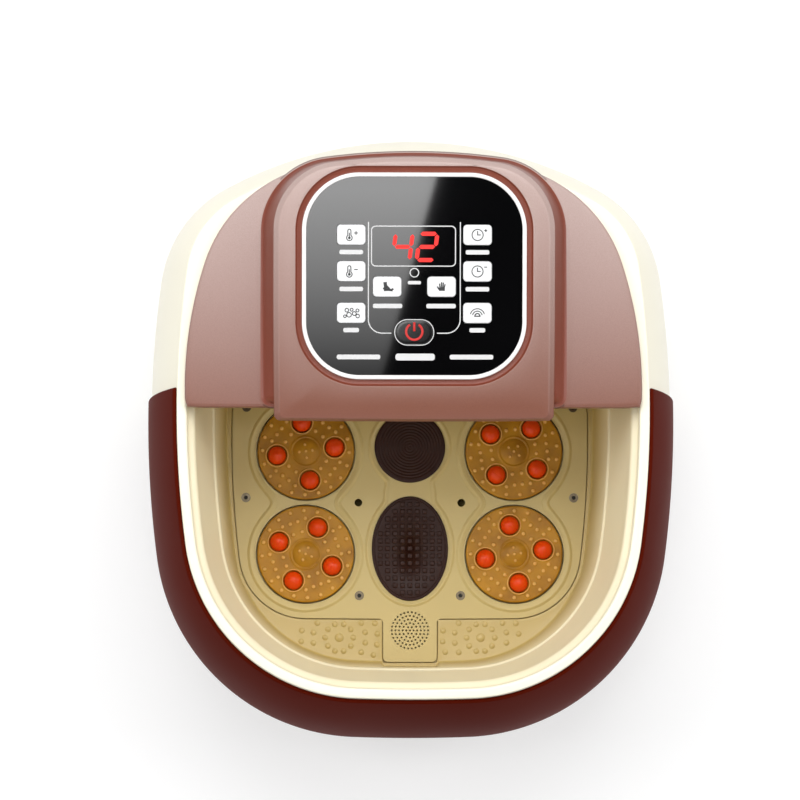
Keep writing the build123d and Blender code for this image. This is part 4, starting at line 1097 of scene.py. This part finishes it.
def digit(x0, x1, s0, s1, segments, slant=0.12, width=3.1):
    """Seven-segment digit: each lit segment is a six-sided bar between two corners, sheared to the right."""
    gap = 0.45
    cx = {"l": x0 + width / 2, "r": x1 - width / 2}
    cy = {"b": s0 + width / 2, "m": (s0 + s1) / 2, "t": s1 - width / 2}
    ends = {"a": "ltrt", "b": "rtrm", "c": "rmrb", "d": "lbrb", "e": "lmlb", "f": "ltlm", "g": "lmrm"}
    shapes = []
    for key in segments:
        p = np.array([cx[ends[key][0]], cy[ends[key][1]]])
        q = np.array([cx[ends[key][2]], cy[ends[key][3]]])
        u = (q - p) / np.linalg.norm(q - p)
        v = np.array([-u[1], u[0]]) * width / 2
        p, q = p + u * gap, q - u * gap
        o = np.array(
            [p, p + u * width / 2 - v, q - u * width / 2 - v, q, q - u * width / 2 + v, p + u * width / 2 + v]
        )
        o[:, 0] += slant * (o[:, 1] - (s0 + s1) / 2)
        shapes.append(patch(o, panel, -0.42, -0.33))
    return shapes


def prints():
    """White lines and bars and lit digits on the control glass, and the lit power symbol on its key."""
    line = lambda path, width, closed=False: stroke(path, width, panel, -0.42, -0.30, closed)
    white = [
        line(rounded_box(32.0, 15.2, 3.2, 6) + [-0.7, 132.4], 0.75, True),
        line(circle(0, 112.2, 3.3), 0.7, True)
    ]
    for side in (-1, 1):
        bracket = np.concatenate([[[35.0, 150.7]], arc(24.7, 76.4, 10.3, 0, -90, 12), [[17.5, 66.1]]])
        white.append(line(bracket * [side, 1], 0.75))
        for s in (127.8, 99.7, 68.4):
            white.append(bar(48.1 * side, s, 9.0 if s > 70 else 6.0, 1.7))
        white.append(bar(20.4 * side, 86.8, 11.2, 1.7))
    white += [
        bar(0, 104.6, 5.0, 1.3), bar(-42.5, 47.9, 16.6, 1.8), bar(0.7, 47.9, 15.0, 2.6),
        bar(43.7, 47.9, 16.6, 1.8)
    ]
    white.append(line(rounded_box(14.9, 9.7, 9.6, 14) + [0, 66.7], 0.6, True))
    points, faces = joined(white)
    build("panel_prints", points, faces, MARK_WHITE, smooth=False)
    points, faces = joined(digit(-17.0, -1.0, 120.3, 143.4, "fgbc") + digit(1.4, 17.8, 120.3, 143.4, "abged"))
    build("display_digits", points, faces, DIGIT_RED, smooth=False)
    ring = line(arc(0, 67.3, 6.2, 122, 418, 40), 1.7)
    ring = (ring[0] + HEAD_N * 0.66, ring[1])
    stem = line([[0, 67.6], [0, 74.4]], 1.7)
    stem = (stem[0] + HEAD_N * 0.66, stem[1])
    points, faces = joined([ring, stem])
    build("power_symbol", points, faces, POWER_RED, body="key_power", replaces=["key_power"])


def key_icons():
    """Line drawings on the keys; places are relative to the key's middle."""
    low, high = 0.2, 0.3

    def lines(*paths, width=0.75):
        return [(path, width, closed) for path, closed in paths]

    def thermometer(sign):
        body = np.concatenate([arc(-1.6, 3.2, 1.3, 0, 180, 10), arc(-1.6, -2.6, 2.3, 125, 415, 20)])
        marks = [([[-1.6, -2.2], [-1.6, 1.6]], False), ([[2.4, 1.4], [5.4, 1.4]], False)]
        if sign > 0:
            marks.append(([[3.9, -0.1], [3.9, 2.9]], False))
        return lines((body, True), *marks) + [(circle(-1.6, -2.6, 0.55, 12), 1.1, True)]

    def clock(sign):
        marks = [([[0, 3.2], [0, 0], [2.6, 0]], False), ([[5.6, 3.6], [8.0, 3.6]], False)]
        if sign > 0:
            marks.append(([[6.8, 2.4], [6.8, 4.8]], False))
        return lines((circle(0, 0, 4.6), True), *marks)

    bubbles = [
        (circle(x, y, r, 20), 0.7, True) for x, y,
        r in (
            (-3.6, 2.2, 1.5), (0.4, 2.6, 1.2), (-1.8, -1.6, 1.9), (2.6, -0.6, 1.6), (5.2, 2.0, 1.2),
            (5.4, -2.6, 1.5), (-5.2, -2.8, 1.1)
        )
    ]
    foot = [(
        np.array([[-1.8, 3.8], [-1.2, -0.6], [-2.6, -2.6]]), 2.6, False
    ), (np.array([[-2.8, -2.7], [0.8, -2.5], [4.6, -2.9]]), 1.9, False),
            (
                np.array([[4.2, -1.4], [5.2, -2.6]]), 1.0, False
            ), (np.array([[-0.6, 0.6], [1.8, -1.9]]), 1.6, False)]
    hand = [(np.array([[0.4, -3.4], [0.4, -0.4]]), 4.4, False), (
        np.array([[-1.2, -0.6], [-1.6, 2.6]]), 1.0, False
    ), (np.array([[0.1, -0.6], [0.0, 3.8]]), 1.0, False),
            (
                np.array([[1.3, -0.6], [1.5, 3.5]]), 1.0, False
            ), (np.array([[2.2, -1.0], [3.0, 2.2]]), 0.9, False), (
                np.array([[-1.6, -2.6], [-3.6, 0.2]]), 1.1, False
            )]
    lamp = [
        (arc(0, -2.4, 2.0, 0, 180, 16), 0.9, False), (arc(0, -2.4, 4.0, 10, 170, 20), 0.7, False),
        (arc(0, -2.4, 6.0, 15, 165, 24), 0.7, False),
        (np.array([[-2.6, -2.6], [2.6, -2.6]]), 0.9, False)
    ]
    drawings = {
        "key_temperature_up": thermometer(1), "key_temperature_down": thermometer(-1), "key_bubbles": bubbles,
        "key_time_up": clock(1), "key_time_down": clock(-1), "key_light": lamp, "key_massage": foot,
        "key_preset": hand,
    }
    for name, paths in drawings.items():
        x, s = KEYS[name]
        points, faces = joined(
            [stroke(np.asarray(p) * 0.92 + [x, s], w, panel, low, high, closed) for p, w, closed in paths]
        )
        build(name + "_icon", points, faces, ICON_GREY, body=name, replaces=[name], smooth=False)


bezel()
keys()
prints()
key_icons()


# ================================================================ massage discs and rollers
def disc_height(x, y, turn):
    """Height of a disc's top over its own plane: domed nubs, central dome, raised lips and round cups
    for the rollers.

    A nub of radius r and height h adds h * (1 - (d/r)^2) inside r; a lip adds
    a half-round ring; a cup is the lower part of a sphere round the roller.
    """
    z = np.zeros_like(x)
    nubs = []
    for k in range(4):
        at = turn + 90 * k
        nubs += [(35.4, at + 9 + 18 * j) for j in range(5)]
        nubs += [
            (27.3, at + 45 - 6.7), (27.3, at + 45 + 6.7), (29.1, at + 45 - 19.8),
            (29.1, at + 45 + 19.8), (18.4, at + 45 - 11.8), (18.4, at + 45 + 11.8)
        ]
    for reach, at in nubs:
        d2 = (x - reach * math.cos(math.radians(at))) ** 2 + (y - reach * math.sin(math.radians(at))) ** 2
        z += 1.35 * np.clip(1 - d2 / 1.9**2, 0, None) ** 1.2
    r = np.hypot(x, y)
    dome = 3.0 * np.clip(1 - (r / 10.6) ** 2, 0, None) ** 0.8
    z = z + dome
    for reach, at in [(0.0, 0.0)] + [(5.4, turn + 90 * k) for k in range(4)]:
        d2 = (x - reach * math.cos(math.radians(at))) ** 2 + (y - reach * math.sin(math.radians(at))) ** 2
        z += 0.9 * np.clip(1 - d2 / 1.5**2, 0, None)
    # The third result marks the nub tips and, below, the cup lips, where the amber material paints a
    # highlight.
    highlight_tip = np.clip((z - dome) / 0.9, 0, 1)
    z += 0.5 * np.exp(-(((r - 12.0) / 0.8) ** 2))
    edge = np.clip((r - 37.9) / 1.4, 0, 1)
    z -= 1.3 * (1 - np.sqrt(np.clip(1 - edge**2, 0, 1)))
    cup = np.full_like(x, 1e9)
    for k in range(4):
        at = math.radians(turn + 90 * k)
        d = np.hypot(x - ORBIT * math.cos(at), y - ORBIT * math.sin(at))
        lip = np.exp(-(((d - 8.95) / 0.55) ** 2))
        z += 0.9 * lip
        highlight_tip = np.maximum(highlight_tip, lip)
        z = np.where(
            d < 8.35,
            np.maximum(ROLLER_Z - DISC_TOP - np.sqrt(np.clip(7.66**2 - d**2, 0, None)), -7.7 + 0 * d), z
        )
        cup = np.minimum(cup, d)
    return z, cup, highlight_tip


def disc(place):
    """Polar grid over the disc, evenly spaced in radius with a few more rings at the rounded edge; its
    underside is a copy one wall lower.
    """
    cx, cy, turn = DISCS[place]
    t = np.linspace(0, TAU, 580, endpoint=False)
    r = np.concatenate([np.linspace(0.05, 38.0, 118), 38.0 + 1.3 * np.sin(np.linspace(0.2, math.pi / 2, 5))])
    x, y = r[:, None] * np.cos(t), r[:, None] * np.sin(t)
    z, cup, highlight_tip = disc_height(x, y, turn)
    top = np.stack([cx + x, cy + y, DISC_TOP + z], -1)
    low = np.where(cup < 8.9, DISC_TOP - 9.7, DISC_TOP - 4.4)
    under = np.stack([cx + x, cy + y, np.minimum(low, DISC_TOP + z - 0.2)], -1)[::-1][::4]
    inner = np.stack([cx + x[:1], cy + y[:1], np.full_like(x[:1], DISC_TOP - 4.4)], -1)
    points = np.concatenate([top, under, inner]).reshape(-1, 3)
    rows = len(points) // len(t)
    piece = build(
        f"disc_{place}_moulding", points, quads(rows, len(t), wrap_rows=True), AMBER,
        body=f"disc_{place}", replaces=[f"massage_disc_{place}"]
    )
    # The marks for the painted highlight go to the mesh as a point attribute.
    lit = np.zeros(len(points), np.float32)
    lit[: highlight_tip.size] = highlight_tip.ravel()
    piece.data.attributes.new("highlight_tip", "FLOAT", "POINT").data.foreach_set("value", lit)


def rollers(place):
    """Each roller is a ball turned about its axle, with a fine parting groove, flattened ends and an
    axle hole.
    """
    cx, cy, turn = DISCS[place]
    a = np.arcsin(np.clip(np.linspace(-0.972, 0.972, 61), -1, 1))
    line = np.stack([ROLLER * np.cos(a), ROLLER * np.sin(a)], 1)
    line[:, 0] -= 0.16 * np.exp(-((line[:, 1] / 0.28) ** 2))
    reach = line[-1, 1]
    line = np.concatenate(
        [
            [[1.25, -reach + 1.5], [1.25, -reach + 0.05], [1.4, -reach]], line,
            [[1.4, reach], [1.25, reach - 0.05], [1.25, reach - 1.5]]
        ]
    )
    for k in range(4):
        at = math.radians(turn + 90 * k)
        axis = (math.cos(at), math.sin(at), 0.0)
        centre = (cx + ORBIT * axis[0], cy + ORBIT * axis[1], ROLLER_Z)
        rows = lathe(line, centre, 56, axis)
        body = f"roller_{place}_{k + 1}"
        build(
            body + "_ball", rows.reshape(-1, 3), quads(len(rows), 56, wrap_rows=True), ORANGE,
            body=body, replaces=[body]
        )


for where in DISCS:
    disc(where)
    rollers(where)


# ================================================================ inserts in the floor
def lens():
    """Turned lens with fine concentric grooves: 0.22 * cos(2 pi r / 2.35) under a rounded edge."""
    r = np.linspace(0.05, 27.6, 260)
    top = np.stack([r, 78.95 - 0.17 * (1 - np.cos(TAU * r / 2.35)) * (r < 26.4)], 1)
    rim = rounded([[27.6, 78.95], [28.7, 78.95], [28.7, 76.05], [27.9, 76.05]], [0, 0.8, 0.2, 0])[1:]
    profile = np.concatenate([top, rim, [[0.05, 76.05]]])
    rows = lathe(profile, (0, -4.8, 0), 220)
    build(
        "lens", rows.reshape(-1, 3), quads(len(rows), 220, wrap_rows=True), INSERT_BROWN,
        replaces=["infrared_lens"]
    )


def lid():
    """Oval lid with a rounded edge and a shallow groove; pillow studs on a square grid inside the oval."""
    t = np.linspace(0, TAU, 240, endpoint=False)
    profile = rounded(
        [[-0.02, 77.4], [-0.02, 79.0], [1.2, 79.0], [1.6, 78.6], [2.2, 78.6], [2.6, 79.0], [30.85, 79.0]],
        [0.2, 0.7, 0.1, 0.1, 0.1, 0.1, 0]
    )
    rows = [
        np.stack(
            [
                (30.9 - i) * np.cos(t), -87.4 + (42.4 - i * (42.4 / 30.9 if i > 3 else 1)) * np.sin(t),
                np.full(len(t), z)
            ],
            1
        )
        for i, z in profile
    ]
    lip = [(4.9, 77.4), (4.9, 74.4), (6.9, 74.4), (6.9, 77.4), (30.85, 77.4)]
    back = [
        np.stack(
            [
                (30.9 - i) * np.cos(t), -87.4 + (42.4 - i * (42.4 / 30.9 if i > 8 else 1)) * np.sin(t),
                np.full(len(t), z)
            ],
            1
        )
        for i, z in lip
    ]
    rows = back[::-1] + rows
    shapes = [(np.concatenate(rows), quads(len(rows), len(t), wrap_rows=True).tolist())]
    for column in range(-4, 5):
        for row in range(-6, 7):
            if math.hypot(column * 6 / 27.9, row * 6 / 39.4) < 0.97:
                loops = []
                for inset, z in ((0, 78.7), (0, 79.5), (0.25, 79.85), (0.7, 80.0), (1.3, 80.02)):
                    o = rounded_box(
                        2.0 - inset, 2.0 - inset, 0.8 - inset * 0.4, 4
                    ) + [column * 6, row * 6 - 87.4]
                    loops.append(np.concatenate([o, np.full((len(o), 1), z)], 1))
                shapes.append(layers(loops))
    points, faces = joined(shapes)
    build(
        "herb_lid", points, faces, INSERT_BROWN, body="herb_box_lid",
        replaces=["herb_box_lid"]
    )


def painted_screw_recess_shade():
    """Dark round discs on the heads of the floor screws: painted shade where their drive recesses are."""
    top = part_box("floor_screws")[1][2] / MM
    heads = [(x * side, y) for x, y in ((133.5, -45.9), (41.1, -125.6), (133.3, 28.0)) for side in (-1, 1)]
    place = lambda x, y, h: np.stack([x, y, h], -1)
    points, faces = joined([patch(circle(x, y, 1.5, 24), place, top - 0.3, top + 0.03) for x, y in heads])
    build("painted_screw_recess_shade", points, faces, RUBBER, smooth=False)


lens()
lid()
painted_screw_recess_shade()

# ================================================================ floor, light and camera
CARD_Z = 2.0
# The slanted edge between the bright card and the black one over the head, in metres.
SLANT_FRONT, SLANT_REAR = (-0.0345, -0.36, CARD_Z), (0.0830, 0.08, CARD_Z)
CARD_LEFT, FLAG_RIGHT, FLAG_FRONT = -0.33, 0.6, -0.8
AMBIENT = 0.34


def lamp(name, where, aim, size, watts):
    """Rectangular softbox at a place in metres, turned towards aim."""
    light = bpy.data.lights.new(name, "AREA")
    light.shape = "RECTANGLE"
    light.size, light.size_y = size
    light.energy = watts
    thing = bpy.data.objects.new(name, light)
    bpy.context.scene.collection.objects.link(thing)
    thing.location = where
    thing.rotation_euler = (Vector(where) - Vector(aim)).to_track_quat("Z", "Y").to_euler()


def card(name, corners, material):
    """Flat card of the studio, which isn't part of the object."""
    mesh = bpy.data.meshes.new(name)
    mesh.from_pydata(corners, [], [tuple(range(len(corners)))])
    mesh.materials.append(material)
    thing = bpy.data.objects.new(name, mesh)
    bpy.context.scene.collection.objects.link(thing)
    return thing


def seen(tree):
    """1 on a ray of the camera, of a reflection or through a clear piece, else 0."""
    path = node(tree, "LightPath").outputs
    shown = node(tree, "Math", {0: path["Is Camera Ray"], 1: path["Is Glossy Ray"]}, operation="ADD")
    return node(tree, "Math", {
        0: shown.outputs["Value"], 1: path["Is Transmission Ray"],
    }, operation="ADD", use_clamp=True).outputs["Value"]


def stage():
    """White floor that keeps the shadow, in surroundings that are white where they are seen and dim as
    light.
    """
    made, tree, shader, place = new_material("white studio floor")
    clouds = node(tree, "TexNoise", {"Vector": place, "Scale": cells(STUDIO_CLOUD), "Detail": 3.0})
    tone = node(tree, "Mix", {
        "Factor": clouds.outputs["Fac"], MIX_A: linear("#BDBDBD"), MIX_B: linear("#C2C2C2"),
    }, data_type="RGBA")
    lift = node(tree, "MapRange", {"Value": seen(tree), "To Min": 0.0, "To Max": 0.5})
    node(tree, shader, {
        "Base Color": tone.outputs[MIX_RESULT], "Roughness": 0.9,
        "Emission Color": (1, 1, 1, 1), "Emission Strength": lift.outputs["Result"],
    })
    floor = card("floor", [(-6, -6, 0), (6, -6, 0), (6, 6, 0), (-6, 6, 0)], made)

    world = bpy.data.worlds.new("studio")
    bpy.context.scene.world = world
    world.use_nodes = True
    tree = world.node_tree
    strength = node(tree, "MapRange", {"Value": seen(tree), "To Min": AMBIENT, "To Max": 1.0})
    node(tree, tree.nodes["Background"], {"Color": (1, 1, 1, 1), "Strength": strength.outputs["Result"]})


def reflector():
    """Two cards over the head, which draw the slanted sheen on its glass.

    The left one is a softbox that fades towards the front, the right one a
    black flag; they share a slanted edge.
    """
    made, tree, shader, place = new_material("fading softbox cloth")
    depth = node(tree, "SeparateXYZ", {"Vector": place})
    fade = node(tree, "MapRange", {
        "Value": depth.outputs["Y"], "From Min": -0.28, "From Max": -0.02, "To Min": 0.4, "To Max": 8.2,
    })
    node(tree, shader, {
        "Base Color": (0, 0, 0, 1), "Roughness": 1.0,
        "Emission Color": (1, 1, 1, 1), "Emission Strength": fade.outputs["Result"],
    })
    left_front, left_rear = (CARD_LEFT, SLANT_FRONT[1], CARD_Z), (CARD_LEFT, SLANT_REAR[1], CARD_Z)
    cloth = card("reflector", [left_front, SLANT_FRONT, SLANT_REAR, left_rear], made)
    cloth.visible_camera = False

    made, tree, shader, place = new_material("black flag cloth")
    node(tree, shader, {"Base Color": (0, 0, 0, 1), "Roughness": 1.0, "Specular IOR Level": 0.0})
    flag = card("flag", [
        SLANT_FRONT, left_front, (CARD_LEFT, FLAG_FRONT, CARD_Z), (FLAG_RIGHT, FLAG_FRONT, CARD_Z),
        (FLAG_RIGHT, SLANT_REAR[1], CARD_Z), SLANT_REAR,
    ], made)
    flag.visible_camera = flag.visible_diffuse = flag.visible_shadow = flag.visible_transmission = False


stage()
reflector()
lamp("rear_softbox", (0.0, 1.0, 2.0), (0.0, 0.8, 0.0), (1.8, 1.2), 30.0)
lamp("front_softbox", (0.0, -1.7, 1.5), (0.0, 0.0, 0.1), (1.6, 0.8), 7.5)
lamp("left_softbox", (-1.6, 0.1, 1.3), (0.0, 0.0, 0.1), (0.8, 1.6), 11.0)
lamp("right_softbox", (1.6, 0.1, 1.3), (0.0, 0.0, 0.1), (0.8, 1.6), 11.0)

TARGET = np.array([-10.4, 17.5, 236.0]) * MM
# The camera looks down at the head from this far, in metres, tilted a little to the front.
CAMERA_DISTANCE = 2.6
SIDE_TILT, FRONT_TILT = math.radians(0.85), math.radians(6.0)
FORWARD = np.array([math.tan(SIDE_TILT), math.tan(FRONT_TILT), -1.0])
FORWARD /= np.linalg.norm(FORWARD)
RIGHT = np.cross(FORWARD, [0, 1, 0])
RIGHT /= np.linalg.norm(RIGHT)
UP = np.cross(RIGHT, FORWARD)
camera = bpy.data.objects.new("camera", bpy.data.cameras.new("camera"))
bpy.context.scene.collection.objects.link(camera)
turn = np.eye(4)
turn[:3, 0], turn[:3, 1], turn[:3, 2], turn[:3, 3] = RIGHT, UP, -FORWARD, TARGET - FORWARD * CAMERA_DISTANCE
camera.matrix_world = Matrix(turn.tolist())
camera.data.lens = 151.95
camera.data.sensor_width = 36.0
camera.data.clip_end = 50.0

bpy.context.scene.camera = camera
bpy.context.scene.view_settings.view_transform = "Standard"
